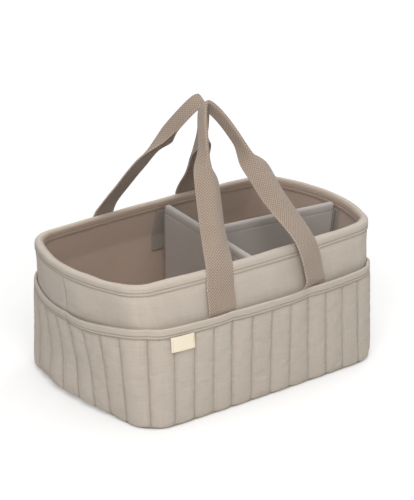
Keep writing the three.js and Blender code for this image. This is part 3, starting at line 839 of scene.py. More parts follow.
def plate(name, outline, levels):
    """A plate with a shaped edge and face. levels are (inset, z) from the middle of the underside
    round the edge to the middle of the top; an inset of 1 is the middle."""
    rings = []
    for inset, z in levels:
        ring = outline * (1 - inset)
        ring[:, 2] = z(ring) if callable(z) else z
        rings.append(ring)
    points = np.concatenate(rings)
    weave = points * (1, 1, 0)
    return mesh_object(name, points, ring_faces(len(rings), len(outline)), weave)


class MakeFloor(bpy.types.Operator):
    """Sew the base cloth and lay the stitched floor lining over the base board"""

    bl_idname = "nursery.make_floor"
    bl_label = "Base and floor"

    def execute(self, context):
        self.base()
        self.lining()
        for node in ("base_board", "cross_divider_board", "long_divider_board"):
            board = bpy.data.objects[node]
            board.data.materials.clear()
            board.data.materials.append(FINISHES["board"])
        return {"FINISHED"}

    def base(self):
        """The base cloth, which stands on its edge and is a little hollow in the middle."""
        outline = floor_outline(0.0, 0.7 * MM, 4 * MM)
        bottom = [(0.98, 0.5 * MM), (0.6, 0.45 * MM), (0.2, 0.3 * MM), (0.06, 0.0), (0.012, 0.0)]
        edge = [(0.003, 0.35 * MM), (0.0, 0.95 * MM), (0.004, 1.55 * MM), (0.015, 1.8 * MM)]
        top = [(0.3, 1.8 * MM), (0.98, 1.8 * MM)]
        piece = plate("base_cloth_sewn", outline, bottom + edge + top)
        finish_piece(piece, "canvas", "tub", ("base_cloth",))

    def lining(self):
        """The floor lining, turned up at its rim and stitched down just inside it."""
        low, high = FLOOR_LINING
        seam_inset, depth = 0.036, -7.4 * MM

        def face(ring):
            return high - 0.25 * MM + 0.18 * MM * ripple(ring[:, 0], ring[:, 1], 5, 90 * MM)

        under = [(0.98, low), (0.3, low), (0.004, low)]
        rim = [(0.0, low + 0.35 * MM), (0.001, high - 0.3 * MM), (0.006, high), (0.03, high)]
        seam = [(seam_inset, high - 0.35 * MM), (0.042, high)]
        insets = [(share, face) for share in np.linspace(0.06, 0.98, 30)]
        outline = floor_outline(WALL_BOTTOM, depth, 3 * MM)
        piece = plate("floor_lining_sewn", outline, under + rim + seam + insets)
        finish_piece(piece, "lining", "tub", ("floor_lining",))
        v, side = Wall.around(np.linspace(0, 4, 900))
        row = Wall.points(v, side, WALL_BOTTOM, depth) * (1 - seam_inset)
        row[:, 2] = high - 0.2 * MM
        up = np.zeros_like(row) + (0, 0, 1)
        thread_object("floor_lining_stitches", [stitches(row, up)], "tub")


def seam_dip(v):
    """The cloth's dip at the seam in the middle of an end, with a lip beside it."""
    off = from_end_seam(v)
    return hump(off, 2.6 * MM, 1.4 * MM) * 0.3 * MM - hump(off, 0, 1.1 * MM) * 0.8 * MM


class MakeWalls(bpy.types.Operator):
    """Sew the outer canvas and the lining round the foam boards"""

    bl_idname = "nursery.make_walls"
    bl_label = "Walls"

    def execute(self, context):
        for side, half in HALVES:
            self.canvas(side, half)
            self.lining(side, half)
            self.side_board(side, half)
        self.end_board(-1, "left")
        self.end_board(1, "right")
        return {"FINISHED"}

    def canvas(self, side, half):
        """The outer canvas, a little uneven in the plain band between the pockets and the rim."""
        v = even_places(2 * MM)
        z = level_rows(WALL_BOTTOM, WALL_TOP, 66, 0.6 * MM, len(v))
        run = Wall.run(v)[:, None] * side
        corner = hump(np.abs(v)[:, None], 0.5, 0.16)
        band = smooth(z, 118 * MM, 128 * MM) * (1 - smooth(z, 152 * MM, 160 * MM))
        soft = 0.24 * MM * ripple(run, z, 11, 46 * MM, 1.6)
        drawn = 0.12 * MM * corner * ripple(run, z, 12, 11 * MM, 7)
        off = from_end_seam(v)[:, None]
        drawn = drawn + 0.3 * MM * hump(off, 2.5 * MM, 5 * MM) * np.sin(z * math.tau / (6.5 * MM) + 1)
        under_hem = 0.8 * MM * hump(z, 156.5 * MM, 9 * MM) * (z < 158.2 * MM)
        pull = under_hem - 0.35 * MM * hump(z, 124 * MM, 5 * MM)
        outer = band * (soft + drawn) + pull + seam_dip(v)[:, None] * smooth(z, 118 * MM, 124 * MM)
        rising, falling = sheet_faces(z, outer, outer * 0.5 - CANVAS, 0.6 * MM)
        # tone paints highlight on the cloth's bulges and shade in its hollows and in the seam at the middle
        # of each end
        tone = 1.5 * (outer / MM) - 1.8 * hump(off, 0, 1.1 * MM)
        piece = wall_cloth(f"outer_canvas_{half}_sewn", v, side, rising, falling, tone)
        finish_piece(piece, "canvas", "tub", (f"outer_canvas_{half}",))
        size = (2 * SHELL_RUN, WALL_TOP - WALL_BOTTOM)

    def lining(self, side, half):
        """The lining, drawn in at the corners."""
        v = even_places(3 * MM)
        z = level_rows(WALL_BOTTOM + 4.5 * MM, WALL_TOP, 54, 0.4 * MM, len(v))
        run = Wall.run(v)[:, None] * side
        soft = 0.2 * MM * ripple(run, z, 21 + side, 70 * MM, 1.3)
        corner = hump(np.abs(v)[:, None], 0.5, 0.03)
        inner = LINING_INNER - 0.1 * MM + soft + corner * 0.35 * MM
        outer = np.full_like(z, LINING_OUTER)
        rising, falling = sheet_faces(z, outer, inner, 0.4 * MM)
        piece = wall_cloth(f"lining_{half}_sewn", v, side, rising, falling)
        finish_piece(piece, "lining", "tub", (f"lining_{half}",))
        size = (2 * SHELL_RUN * LINING_SHARE, WALL_TOP - WALL_BOTTOM)

    def side_board(self, side, half):
        v = even_places(5 * MM, -0.499, 0.499)
        self.board(f"foam_board_{half}", v, side)

    def end_board(self, sign, name):
        """The foam of an end goes round both of its corners' outer halves."""
        way = np.linspace(0.501, 1.499, 60) if sign > 0 else np.linspace(2.501, 3.499, 60)
        v, side = Wall.around(way)
        self.board(f"foam_board_{name}", v, side)

    def board(self, node, v, side):
        z = level_rows(WALL_BOTTOM, WALL_TOP, 20, 0.8 * MM, len(v))
        outer = np.full_like(z, FOAM_OUTER)
        rising, falling = sheet_faces(z, outer, np.full_like(z, FOAM_INNER), 0.8 * MM)
        piece = wall_cloth(f"{node}_cut", v, side, rising, falling)
        finish_piece(piece, "felt", "tub", (node,))


def fold_profile(bottom, top, outer, inner, rows, dip, swell):
    """A folded hem's section as (depth, z) from its outer lower edge over the crest to the inner
    one: it swells between the rows of stitching."""
    crest = 3.2 * MM
    levels = np.concatenate([
        bottom + np.array([0, 0.15, 0.5]) * MM,
        np.linspace(bottom + 0.8 * MM, top - crest, 22),
    ])
    share = (levels - bottom) / (top - bottom)
    shape = swell * np.sin(math.pi * np.clip(share, 0, 1)) ** 0.6
    for row in rows:
        shape = shape - dip * hump(levels, row, 0.6 * MM)
    shape = shape - 0.55 * MM * (1 - np.clip((levels - bottom) / (0.6 * MM), 0, 1)) ** 2
    turn = np.linspace(0, math.pi, 11)[1:-1]
    middle, half = (outer + inner) / 2, (outer - inner) / 2
    arc_depth = middle + (half + shape[-1]) * np.cos(turn)
    arc_z = top - crest + crest * np.sin(turn) ** 0.85
    depth = np.concatenate([outer + shape, arc_depth, (inner - shape)[::-1]])
    z = np.concatenate([levels, arc_z, levels[::-1]])
    return depth, z


class MakeRim(bpy.types.Operator):
    """Fold the hem over the rim and sew it down with two rows of stitches"""

    bl_idname = "nursery.make_rim"
    bl_label = "Rim hem"

    rows = (159.6 * MM, 163.2 * MM)
    quarter_run = 0.27

    def execute(self, context):
        way = np.linspace(0, 4, 700, endpoint=False)
        v, side = Wall.around(way)
        outer, cloth = 1.5 * MM, 1.2 * MM
        depth, z = fold_profile(RIM_HEM_BOTTOM, RIM_TOP, outer, HEM_INNER, self.rows, 0.75 * MM, 0.35 * MM)
        within = (RIM_TOP - cloth, outer - cloth, HEM_INNER + cloth)
        hollow = fold_profile(RIM_HEM_BOTTOM, *within, (), 0, 0.2 * MM)
        depth_in, z_in = (np.broadcast_to(row[::-1], (len(way), len(row))) for row in hollow)
        run = way[:, None] * self.quarter_run
        wave = ripple(run, 0 * depth[None, :], 31, 75 * MM) * 0.35 * MM
        pucker = np.sin(run * math.tau / (3.5 * MM)) * 0.1 * MM
        near_rows = sum(hump(z, row, 1.6 * MM) for row in self.rows)[None, :]
        stitch_row_shade = sum(hump(z, row, 0.7 * MM) for row in self.rows)
        outward_sign = np.sign(depth - (outer + HEM_INNER) / 2)[None, :]
        dip = seam_dip(v)[:, None] * 0.7 * outward_sign
        skin = depth[None, :] + (pucker * near_rows + 0.4 * wave) * outward_sign + dip
        crest = smooth(z, RIM_HEM_BOTTOM, RIM_TOP)[None, :] * wave
        z_all = np.concatenate([z[None, :] + crest, z_in], axis=1)
        depth_all = np.concatenate([skin, depth_in], axis=1)
        points = Wall.points(v[:, None], side[:, None], z_all, depth_all)
        # Painted highlight along the crest and painted shade in the stitch rows; from 4.5 mm in, the inner
        # face is marked for the darker inside colour, painted as shade
        high = np.zeros_like(z_all)
        high[:, : len(z)] = smooth(z, 166 * MM, RIM_TOP) - 2 * stitch_row_shade - 6 * smooth(-depth, 4.5 * MM, 7 * MM)
        along = np.broadcast_to(run, z_all.shape)
        piece = loft("rim_hem_sewn", points, np.stack([along, z_all, high], axis=-1), ringed=True)
        finish_piece(piece, "hem", "tub", ("rim_hem",))
        v, side = Wall.around(np.linspace(0, 4, 1600, endpoint=False))
        threads = []
        for row in self.rows:
            for face, sign in ((outer + 0.12 * MM, 1), (HEM_INNER - 0.12 * MM, -1)):
                path, out = wall_row(v, side, row, face)
                threads.append(stitches(path, out * sign))
        thread_object("rim_hem_stitches", threads, "tub")
        return {"FINISHED"}


class MakePockets(bpy.types.Operator):
    """Quilt the pocket panels, puff them with a cloth simulation and bind their tops"""

    bl_idname = "nursery.make_pockets"
    bl_label = "Quilted pockets"

    top = 109.9 * MM
    across = (0, 0.022, 0.05, 0.09, 0.15, 0.24, 0.36, 0.5, 0.64, 0.76, 0.85, 0.91, 0.95, 0.978, 1)
    hem_rows = (110.9 * MM, 114.2 * MM)

    def execute(self, context):
        for side, half in HALVES:
            self.panel(side, half)
            self.hem(side, half)
        return {"FINISHED"}

    def columns(self):
        """Way-round values, how far each lies across its channel from 0 to 1, and the metres from it
        to the nearer seam."""
        edges = channel_edges()
        shares = np.array(self.across)
        v, across, reach = [edges[0]], [0.0], [0.0]
        for low, high in zip(edges[:-1], edges[1:]):
            width = float(Wall.run(np.array([high]))[0] - Wall.run(np.array([low]))[0])
            v.extend(low + (high - low) * shares[1:])
            across.extend(shares[1:])
            reach.extend(np.minimum(shares[1:], 1 - shares[1:]) * width)
        return np.array(v), np.array(across), np.array(reach)

    def face(self, v, across, reach, z, side):
        """Depth of the quilted face: flat, softly swollen channels between pulled-in seams."""
        pocket = settings().pockets
        run = Wall.run(v)[:, None] * side
        near = np.exp(-reach / (3.2 * MM))[:, None]
        swell = np.sin(math.pi * np.clip(across, 0, 1))[:, None] ** 0.6
        strong = np.isin(np.round(np.abs(v), 6), np.round([POCKET_SEAM, 0.5, SHELL_END], 6))[:, None]
        upper = 1 - 0.5 * smooth(z, self.top - 9 * MM, self.top)
        foot = quarter_round((z - WALL_BOTTOM) / (7 * MM))
        pucker = np.sin(z * math.tau / (3.6 * MM) + run * 40) * 0.22 * MM * near
        pulls = 0.3 * MM * ripple(run, z, 41 + side, 12 * MM, 0.6) * np.exp(-reach / (6 * MM))[:, None]
        soft = 0.32 * MM * ripple(run, z, 51 + side, 55 * MM, 2.4)
        deeper = np.where(strong, 0.35 * MM, 0)
        seam = QUILT - pocket.valley - deeper
        groove = (pocket.valley + deeper) * (1 - np.exp(-reach / (1.6 * MM)))[:, None]
        rise = groove + pocket.puff * swell * upper + (soft + pulls) * (1 - near) + pucker
        return seam + rise * (0.12 + 0.88 * foot) - 0.55 * MM * (1 - foot)

    def panel(self, side, half):
        """One half's quilted panel, scalloped along its foot."""
        v, across, reach = self.columns()
        scallop = 3.2 * MM * np.exp(-reach / (4 * MM))[:, None]
        edge = np.array([0, 0.3, 0.8, 1.6, 2.8, 4.4]) * MM
        upright = np.linspace(6.5 * MM, self.top - 1.2 * MM, 52)
        levels = np.concatenate([edge, upright, [self.top - 0.4 * MM, self.top]])
        share = 1 - (levels / self.top)
        z = (WALL_BOTTOM - 0.6 * MM) * share[None, :] ** 6 + levels[None, :] + scallop * share[None, :] ** 8
        z = np.minimum(z, self.top)
        off = stand_off(v[:, None], side, z) + foot_bulge(v[:, None], side, z)
        outer = off + self.face(v, across, reach, z, side)
        inner = off + 0.1 * MM
        z = z - sag(v, side)[:, None] * smooth(z, 30 * MM, self.top)
        up = np.concatenate([z, z[:, ::-1]], axis=1)
        depth = np.concatenate([outer, inner[:, ::-1]], axis=1)
        points = Wall.points(v[:, None] + slant(v[:, None], side, up), side, up, depth)
        # tone paints highlight on the swollen channels and shade along the seams of the quilting
        rise = (outer - off - QUILT) / MM
        tone = np.clip(0.45 * rise - 0.35, -0.6, 0.6) - 1.7 * np.exp(-reach / (0.75 * MM))[:, None]
        high = np.concatenate([tone, np.zeros_like(z)], axis=1)
        along = Wall.run(v)[:, None] + np.zeros_like(high)
        piece = loft(f"pocket_panel_{half}_quilted", points, np.stack([along, up, high], axis=-1))
        seams = (across < 1e-6) | (across > 1 - 1e-6)
        held = np.ones(up.shape)
        held[:, 3 : z.shape[1] - 2] = np.where(seams, 1.0, 0.0)[:, None]
        self.puff(piece, points, held)
        finish_piece(piece, "canvas", "tub", (f"pocket_panel_{half}",))
        self.seam_threads(side, half)

    def seam_threads(self, side, half):
        """Stitches down every seam of the quilting but those at the panel's ends."""
        rows = []
        levels = np.linspace(5 * MM, self.top - 1 * MM, 60)
        for edge in channel_edges()[1:-1]:
            at = np.full_like(levels, edge)
            face = stand_off(at, side, levels) + foot_bulge(at, side, levels)
            depth = face + QUILT - settings().pockets.valley + 0.02 * MM
            height = levels - sag(at, side) * smooth(levels, 30 * MM, self.top)
            path, out = wall_row(at + slant(at, side, height), side, height, depth)
            rows.append(stitches(path, out, radius=0.2 * MM))
        thread_object(f"pocket_panel_{half}_stitches", rows, "tub")

    def puff(self, piece, points, held):
        """Lets the wadding push the cloth out between the seams, in Blender's cloth simulation. held is
        1 at the points that stay where they are."""
        pocket = settings().pockets
        scene = bpy.context.scene
        group = piece.vertex_groups.new(name="held")
        group.add(np.flatnonzero(held > 0.5).tolist(), 1.0, "REPLACE")
        cloth = piece.modifiers.new("cloth", "CLOTH")
        feel = {
            "vertex_group_mass": "held",
            "pin_stiffness": 1.0,
            "quality": 5,
            "mass": 0.2,
            "tension_stiffness": 30,
            "compression_stiffness": 30,
            "shear_stiffness": 10,
            "bending_stiffness": 0.4,
            "use_pressure": True,
            "uniform_pressure_force": pocket.pressure,
            "shrink_min": -0.025,
        }
        for key, value in feel.items():
            setattr(cloth.settings, key, value)
        cloth.settings.effector_weights.gravity = 0
        cloth.collision_settings.use_collision = False
        cloth.point_cache.frame_end = pocket.frames
        for frame_number in range(1, pocket.frames + 1):
            scene.frame_set(frame_number)
        graph = bpy.context.evaluated_depsgraph_get()
        shaped = piece.evaluated_get(graph).data
        moved = np.empty(len(shaped.vertices) * 3)
        shaped.vertices.foreach_get("co", moved)
        piece.modifiers.remove(cloth)
        piece.vertex_groups.remove(group)
        scene.frame_set(1)
        start = points.reshape(-1, 3)
        shift = moved.reshape(-1, 3) - start
        reach = np.linalg.norm(shift, axis=1, keepdims=True)
        furthest = 0.8 * MM
        shift *= np.minimum(1, furthest / np.maximum(reach, 1e-9))
        piece.data.vertices.foreach_set("co", (start + shift).ravel())
        piece.data.update()

    def hem(self, side, half):
        """One half's binding along the pockets' tops, with two rows of stitches."""
        v = even_places(1.8 * MM)
        bottom, thick = POCKET_HEM_BOTTOM, POCKET_HEM_THICKNESS
        inner = stand_off(v, side, POCKET_TOP)
        run = Wall.run(v)
        wave = ripple(run * side, 0 * run, 61 + side, 60 * MM)[:, None]
        edge_and_row = [0, 0.12, 0.4, 0.65, 0.9, 1.2, 1.6, 2.3, 3.0]
        upper_row = [3.5, 3.85, 4.2, 4.55, 4.9, 5.4, 6.2, 7.2, 8.4, 9.6, 10.6]
        levels = bottom + np.array(edge_and_row + upper_row) * MM
        shape = 0.45 * MM * np.sin(math.pi * np.clip((levels - bottom) / (12 * MM), 0, 1)) ** 0.5
        for row in self.hem_rows:
            shape = shape - 0.7 * MM * hump(levels, row, 0.6 * MM)
        shape = shape - 0.7 * MM * (1 - np.clip((levels - bottom) / (0.6 * MM), 0, 1)) ** 2
        turn = np.linspace(0, math.pi, 9)[1:-1]
        pucker = np.sin(run * math.tau / (3.5 * MM))[:, None] * 0.1 * MM
        near = sum(hump(levels, row, 1.6 * MM) for row in self.hem_rows)[None, :]
        dip = seam_dip(v)[:, None]
        outer = inner[:, None] + thick + shape[None, :] + pucker * near + 0.12 * MM * wave + dip
        crown = 1.4 * MM
        middle = inner[:, None] + thick / 2
        arc_depth = middle + (outer[:, -1:] - middle) * np.cos(turn)[None, :]
        arc_z = bottom + 10.6 * MM + crown * np.sin(turn)[None, :] + 0 * wave
        inside = np.broadcast_to(inner[:, None] + 0.1 * MM, outer.shape)
        flat_z = np.broadcast_to(levels[None, :], outer.shape)
        depth = np.concatenate([outer, arc_depth, inside[:, ::-1]], axis=1)
        z = np.concatenate([flat_z, arc_z, flat_z[:, ::-1]], axis=1)
        z = z + 0.3 * MM * wave * smooth(z, bottom, POCKET_TOP) - sag(v, side)[:, None]
        # An open loft's sections need an even count of points
        depth, z = np.delete(depth, -2, axis=1), np.delete(z, -2, axis=1)
        points = Wall.points(v[:, None], side, z, depth)
        # Painted shade in the stitch rows and at the notch in the middle of each end, and painted highlight
        # along the top edge
        high = np.zeros_like(z)
        high[:, : len(levels)] = -2.0 * sum(hump(levels, row, 0.7 * MM) for row in self.hem_rows)[None, :]
        high += 0.9 * smooth(z + sag(v, side)[:, None], POCKET_TOP - 2.5 * MM, POCKET_TOP)
        high -= 2.2 * hump(from_end_seam(v), 0, 1.2 * MM)[:, None]
        along = run[:, None] + np.zeros_like(z)
        piece = loft(f"pocket_hem_{half}_sewn", points, np.stack([along, z, high], axis=-1))
        finish_piece(piece, "hem", "tub", (f"pocket_hem_{half}",))
        v = even_places(1 * MM, -SHELL_END + 0.004, SHELL_END - 0.004)
        face = stand_off(v, side, POCKET_TOP) + thick + 0.1 * MM
        threads = [stitches(*wall_row(v, side, row - sag(v, side), face)) for row in self.hem_rows]
        thread_object(f"pocket_hem_{half}_stitches", threads, "tub")


class MakeLabel(bpy.types.Operator):
    """Sew the bare woven tab under the front pocket hem"""

    bl_idname = "nursery.make_label"
    bl_label = "Label tab"

    width = 31 * MM

    def execute(self, context):
        low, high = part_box("label_tab")
        left, right = Wall.place(low[0] + 3 * MM), Wall.place(high[0] + 1.4 * MM)
        bottom, top = low[2] + 0.8 * MM, POCKET_HEM_BOTTOM + 2 * MM
        v = np.linspace(left, right, 56)
        across = np.linspace(0, 1, len(v))[:, None]
        z = level_rows(bottom, top, 30, 0.35 * MM, len(v))
        side_edge = np.clip(np.minimum(across, 1 - across) / 0.02, 0, 1) ** 0.5
        rest = stand_off(v[:, None], -1, POCKET_TOP) + QUILT + 2.5 * MM
        hang, curl = self.hang(across, z, bottom, top)
        left_row = hump(across * self.width, 2 * MM, 0.5 * MM)
        right_row = hump((1 - across) * self.width, 2 * MM, 0.5 * MM)
        outer = rest + 0.9 * MM * side_edge + hang + curl - 0.22 * MM * (left_row + right_row)
        rising, falling = sheet_faces(z, outer, rest + hang + curl, 0.35 * MM)
        piece = wall_cloth("label_tab_woven", v, -1, rising, falling)
        finish_piece(piece, "label", "tub", ("label_tab",))
        threads = []
        levels = np.linspace(bottom + 1.4 * MM, POCKET_HEM_BOTTOM - 0.6 * MM, 24)
        for share in (0.065, 0.935):
            at = np.full_like(levels, left + (right - left) * share)
            hang, curl = self.hang(share, levels, bottom, top)
            depth = stand_off(at, -1, POCKET_TOP) + QUILT + 3.25 * MM + hang + curl
            path, out = wall_row(at, -1, levels, depth)
            threads.append(stitches(path, out, length=1.7 * MM, gap=0.7 * MM, radius=0.16 * MM))
        thread_object("label_tab_stitches", threads, "tub")
        return {"FINISHED"}

    def hang(self, across, z, bottom, top):
        """How far the tab's free end stands off and how far the whole of it curls."""
        hang = 0.9 * MM * (1 - smooth(z, bottom, top - 3 * MM)) * (0.35 + 0.65 * across)
        return hang, 0.35 * MM * np.sin(across * math.pi * 1.3 + 0.6)


def centripetal(points, steps=160):
    """A smooth curve through points, with its knots spaced by the square root of the distance."""
    points = np.asarray(points, float)
    padded = np.vstack([2 * points[0] - points[1], points, 2 * points[-1] - points[-2]])
    curve = []
    for p0, p1, p2, p3 in zip(padded[:-3], padded[1:-2], padded[2:-1], padded[3:]):
        d0, d1, d2 = (np.linalg.norm(b - a) ** 0.5 for a, b in ((p0, p1), (p1, p2), (p2, p3)))
        m1 = ((p1 - p0) / d0 - (p2 - p0) / (d0 + d1) + (p2 - p1) / d1) * d1
        m2 = ((p2 - p1) / d1 - (p3 - p1) / (d1 + d2) + (p3 - p2) / d2) * d1
        t = np.linspace(0, 1, steps, endpoint=False)[:, None]
        curve.append(p1 + m1 * t + (3 * (p2 - p1) - 2 * m1 - m2) * t**2 + (2 * (p1 - p2) + m1 + m2) * t**3)
    return np.vstack([*curve, points[-1]])


def arc_lengths(points):
    """How far along the line each of its points lies."""
    return np.concatenate([[0], np.cumsum(np.linalg.norm(np.diff(points, axis=0), axis=1))])


class Leg:
    """How one leg of a strap twists off the wall, cups above the rim and folds shut at the neck, in
    millimetres and degrees. crest moves the crease out as the fold deepens, and lag is how much
    higher up the half towards the middle folds."""

    def __init__(
        self, spacing, lean, twist, cup, cup_heights, fold_heights,
        untwist_heights=(178, 250), crest=0.0, lag=0,
    ):
        self.spacing = spacing * MM
        self.lean = lean * MM
        self.twist = math.radians(twist)
        self.cup = math.radians(cup)
        self.cup_heights = [z * MM for z in cup_heights]
        self.fold_heights = [z * MM for z in fold_heights]
        self.untwist_heights = [z * MM for z in untwist_heights]
        self.crest = crest
        self.lag = lag * MM

    def fold(self, z):
        """How far each half of the webbing is folded at a height."""
        shut = (FOLD_ANGLE - self.cup) * smooth(z, *self.fold_heights)
        return self.cup * smooth(z, *self.cup_heights) + shut

    def turn(self, z):
        """How far the whole webbing is turned about its own length at a height."""
        return self.twist * smooth(z, *TWIST_HEIGHTS) * (1 - smooth(z, *self.untwist_heights))


class Strap:
    """One handle's webbing: a flat ribbon from inside the pocket up over the rim, drawn in to a
    folded grip and down again. side is -1 for the front handle."""

    def __init__(self, side, middle_x, apex_out, apex_height, grip_tilt, arch_peak, left, right):
        self.side = side
        self.middle_x = middle_x
        self.arch_peak = arch_peak
        self.left = left
        self.right = right
        self.lean_points = self.lean(apex_out, apex_height, math.radians(grip_tilt))
        self.lean_run = arc_lengths(self.lean_points)
        self.lay_legs(np.interp(HANDLE_ROOT, self.lean_points[:, 1], self.lean_run))

    def wall_out(self, z):
        """How far out the wall stands behind the handles' feet."""
        return Wall.points(Wall.place(HANDLE_SPACING), 1.0, z, 0.0)[1]

    def lean(self, apex_out, apex_height, tilt):
        """Outward distance against height, from the sewn end up to the apex."""
        neck = 26 * MM
        neck_out = apex_out + neck * math.sin(tilt)
        neck_height = apex_height - neck * math.cos(tilt)
        rim_out = self.wall_out(RIM_TOP) + 1.5 * MM + HANDLE_CLEARANCE
        shoulder_out, shoulder_height = rim_out - 4.3 * MM, RIM_TOP + 9 * MM
        band = (POCKET_TOP + RIM_TOP) / 2
        flat = 1.3 * MM
        points = [
            (self.wall_out(TAIL_BOTTOM) + flat, TAIL_BOTTOM),
            (self.wall_out(104 * MM) + flat, 104 * MM),
            (self.wall_out(118 * MM) + flat, 118 * MM),
            (self.wall_out(127 * MM) + HANDLE_CLEARANCE, 127 * MM),
            (self.wall_out(band) + HANDLE_CLEARANCE + 0.6 * MM, band),
            (rim_out, RIM_TOP),
            (shoulder_out, shoulder_height),
            ((shoulder_out + neck_out) / 2, (shoulder_height + neck_height) / 2),
            (neck_out, neck_height),
            (apex_out, apex_height),
        ]
        return centripetal(points)

    def lay_legs(self, root):
        """The whole way of the ribbon's middle as (distance from the middle, way up the lean)."""
        top = self.lean_run[-1]
        start = root + ARCH_START - HANDLE_ROOT
        draw_in = (top - start) * 0.22
        t = np.linspace(0, 1, 900)[:, None]
        halves = []
        for leg in (self.left, self.right):
            corners = np.array([
                (leg.lean - leg.spacing, start),
                (ARCH_INSET - leg.spacing, start + draw_in),
                (-self.arch_peak, top),
                (0, top),
            ])
            weights = [c * (1 - t) ** (3 - k) * t**k for k, c in enumerate((1, 3, 3, 1))]
            bend = sum(weight * corner for weight, corner in zip(weights, corners))
            rise = np.linspace(0, start, 200, endpoint=False)
            straight = np.stack([leg.lean * smooth(rise, root * 0.7, start) - leg.spacing, rise], axis=1)
            halves.append(np.vstack([straight, bend]))
        way = np.vstack([halves[0], halves[1][-2::-1] * (-1, 1)])
        run = arc_lengths(way)
        count = int(run[-1] / (2.2 * MM))
        even = np.linspace(0, run[-1], count)
        self.way = np.stack([np.interp(even, run, way[:, k]) for k in range(2)], axis=1)
        self.run = even

    def bend(self, fold):
        """For each point from the middle of the webbing to its edge: how far aside and how far down it
        lies once it is folded, and which way it faces."""
        shut = np.clip(fold / FOLD_ANGLE * 1.25, 0, 1) ** 0.7
        reach = SOFT_BEND + (TIGHT_BEND - SOFT_BEND) * shut
        fine = np.linspace(0, WEBBING_WIDTH / 2, FOLD_STEPS)
        angle = fold[:, None] * np.clip(fine[None, :] / reach[:, None], 0, 1)
        middle = (angle[:, 1:] + angle[:, :-1]) / 2
        start = np.zeros((len(fold), 1))
        aside = np.concatenate([start, np.cumsum(np.cos(middle) * fine[1], axis=1)], axis=1)
        down = np.concatenate([start, np.cumsum(np.sin(middle) * fine[1], axis=1)], axis=1)
        return aside, down, angle

    def directions(self):
        """The ways across the ribbon and straight out of it, at each place along it."""
        flow = np.gradient(self.way, self.run, axis=0)
        flow /= np.linalg.norm(flow, axis=1, keepdims=True)
        up_run, step = self.way[:, 1], 1.5 * MM
        ahead, behind = np.minimum(up_run + step, self.lean_run[-1]), np.maximum(up_run - step, 0)
        up_out, up_z = (
            np.interp(ahead, self.lean_run, row) - np.interp(behind, self.lean_run, row)
            for row in self.lean_points.T
        )
        length = np.hypot(up_out, up_z)
        up_out, up_z = up_out / length, up_z / length
        tangent = np.stack([flow[:, 0], self.side * up_out * flow[:, 1], up_z * flow[:, 1]], axis=1)
        normal = np.stack([np.zeros_like(up_z), self.side * up_z, -up_out], axis=1)
        return np.cross(tangent, normal), normal

    def by_leg(self, value):
        """A value of the leg that each place along the ribbon belongs to."""
        return np.where(self.way[:, 0] > 0, value(self.right), value(self.left))

    def section(self, across):
        """Points and outward normals of the ribbon's middle surface at distances across it, and how
        far it is folded."""
        aside, up_run = self.way[:, 0], self.way[:, 1]
        out, z = (np.interp(up_run, self.lean_run, row) for row in self.lean_points.T)
        sideways, normal = self.directions()
        twist = self.by_leg(lambda leg: leg.turn(z))
        push = np.maximum(0, WEBBING_WIDTH / 2 * np.sin(twist) - 1.6 * MM)
        spin = np.where(sideways[:, 0] * aside > 0, -twist, twist)
        turned_side = sideways * np.cos(spin)[:, None] + normal * np.sin(spin)[:, None]
        turned_normal = normal * np.cos(spin)[:, None] - sideways * np.sin(spin)[:, None]
        centre = np.stack([self.middle_x + aside, self.side * out, z], axis=1) + normal * push[:, None]
        fold = self.by_leg(lambda leg: leg.fold(z))
        outer, inner = self.bend(fold), self.bend(self.by_leg(lambda leg: leg.fold(z - leg.lag)))
        rim_run = np.interp(RIM_TOP, self.lean_points[:, 1], self.lean_run)
        climbed = np.clip((up_run - rim_run) / (self.lean_run[-1] - rim_run), 0, 1)
        depth = (outer[1].mean(axis=1) + inner[1].mean(axis=1)) / 2
        rise = self.by_leg(lambda leg: leg.crest) * (depth - CREST_SHARE * WEBBING_WIDTH / 2 * climbed)
        centre = centre + normal * rise[:, None]
        pick = np.clip(np.abs(across) / (WEBBING_WIDTH / 2) * (FOLD_STEPS - 1), 0, FOLD_STEPS - 1.001)
        low, part = pick.astype(int), pick - pick.astype(int)
        sign = np.sign(across)
        away = sign[None, :] * (sideways[:, 0] * aside)[:, None] > 0
        w, drop, turn = (
            np.where(away, first[:, low], second[:, low]) * (1 - part)
            + np.where(away, first[:, low + 1], second[:, low + 1]) * part
            for first, second in zip(outer, inner)
        )
        w, drop, turn = w * sign, -drop, turn * sign
        flat, up = turned_side[:, None], turned_normal[:, None]
        points = centre[:, None] + flat * w[..., None] + up * drop[..., None]
        normals = up * np.cos(turn)[..., None] + flat * np.sin(turn)[..., None]
        return points, normals, fold

    def ribbon(self, name):
        """The webbing as a closed cloth piece with thicker, rounded selvedges."""
        half = WEBBING_WIDTH / 2
        thick = WEBBING_THICKNESS / 2
        edge = np.array([0, 0.12, 0.4, 0.9]) * MM
        inner = np.linspace(-half + 1.8 * MM, half - 1.8 * MM, 21)
        across = np.concatenate([-half + edge, inner, half - edge[::-1]])
        roundness = quarter_round((half - np.abs(across)) / (0.9 * MM))
        points, normals, fold = self.section(across)
        wave = ripple(self.run[:, None], across[None, :], 71 + self.side, 55 * MM, 1.4) * 0.22 * MM
        wave = wave * (1 - fold[:, None] / (math.pi / 2))
        selvedge = 1 + 0.16 * hump(np.abs(across), half - 1.6 * MM, 1 * MM)
        offset = thick * (roundness * selvedge)[None, :]
        outer = points + normals * (offset + wave)[..., None]
        under = points - normals * (offset - wave)[..., None]
        rows = np.concatenate([outer, under[:, ::-1]], axis=1)
        both = np.concatenate([across, across[::-1]])
        # rim paints highlight along the selvedges, which stand proud, and a little shade over the rest
        rim = 1.3 * hump(np.abs(both), half, 1.2 * MM) - 0.3
        weave = np.stack(np.broadcast_arrays(both[None, :], self.run[:, None], rim[None, :]), axis=-1)
        return loft(name, rows, weave)

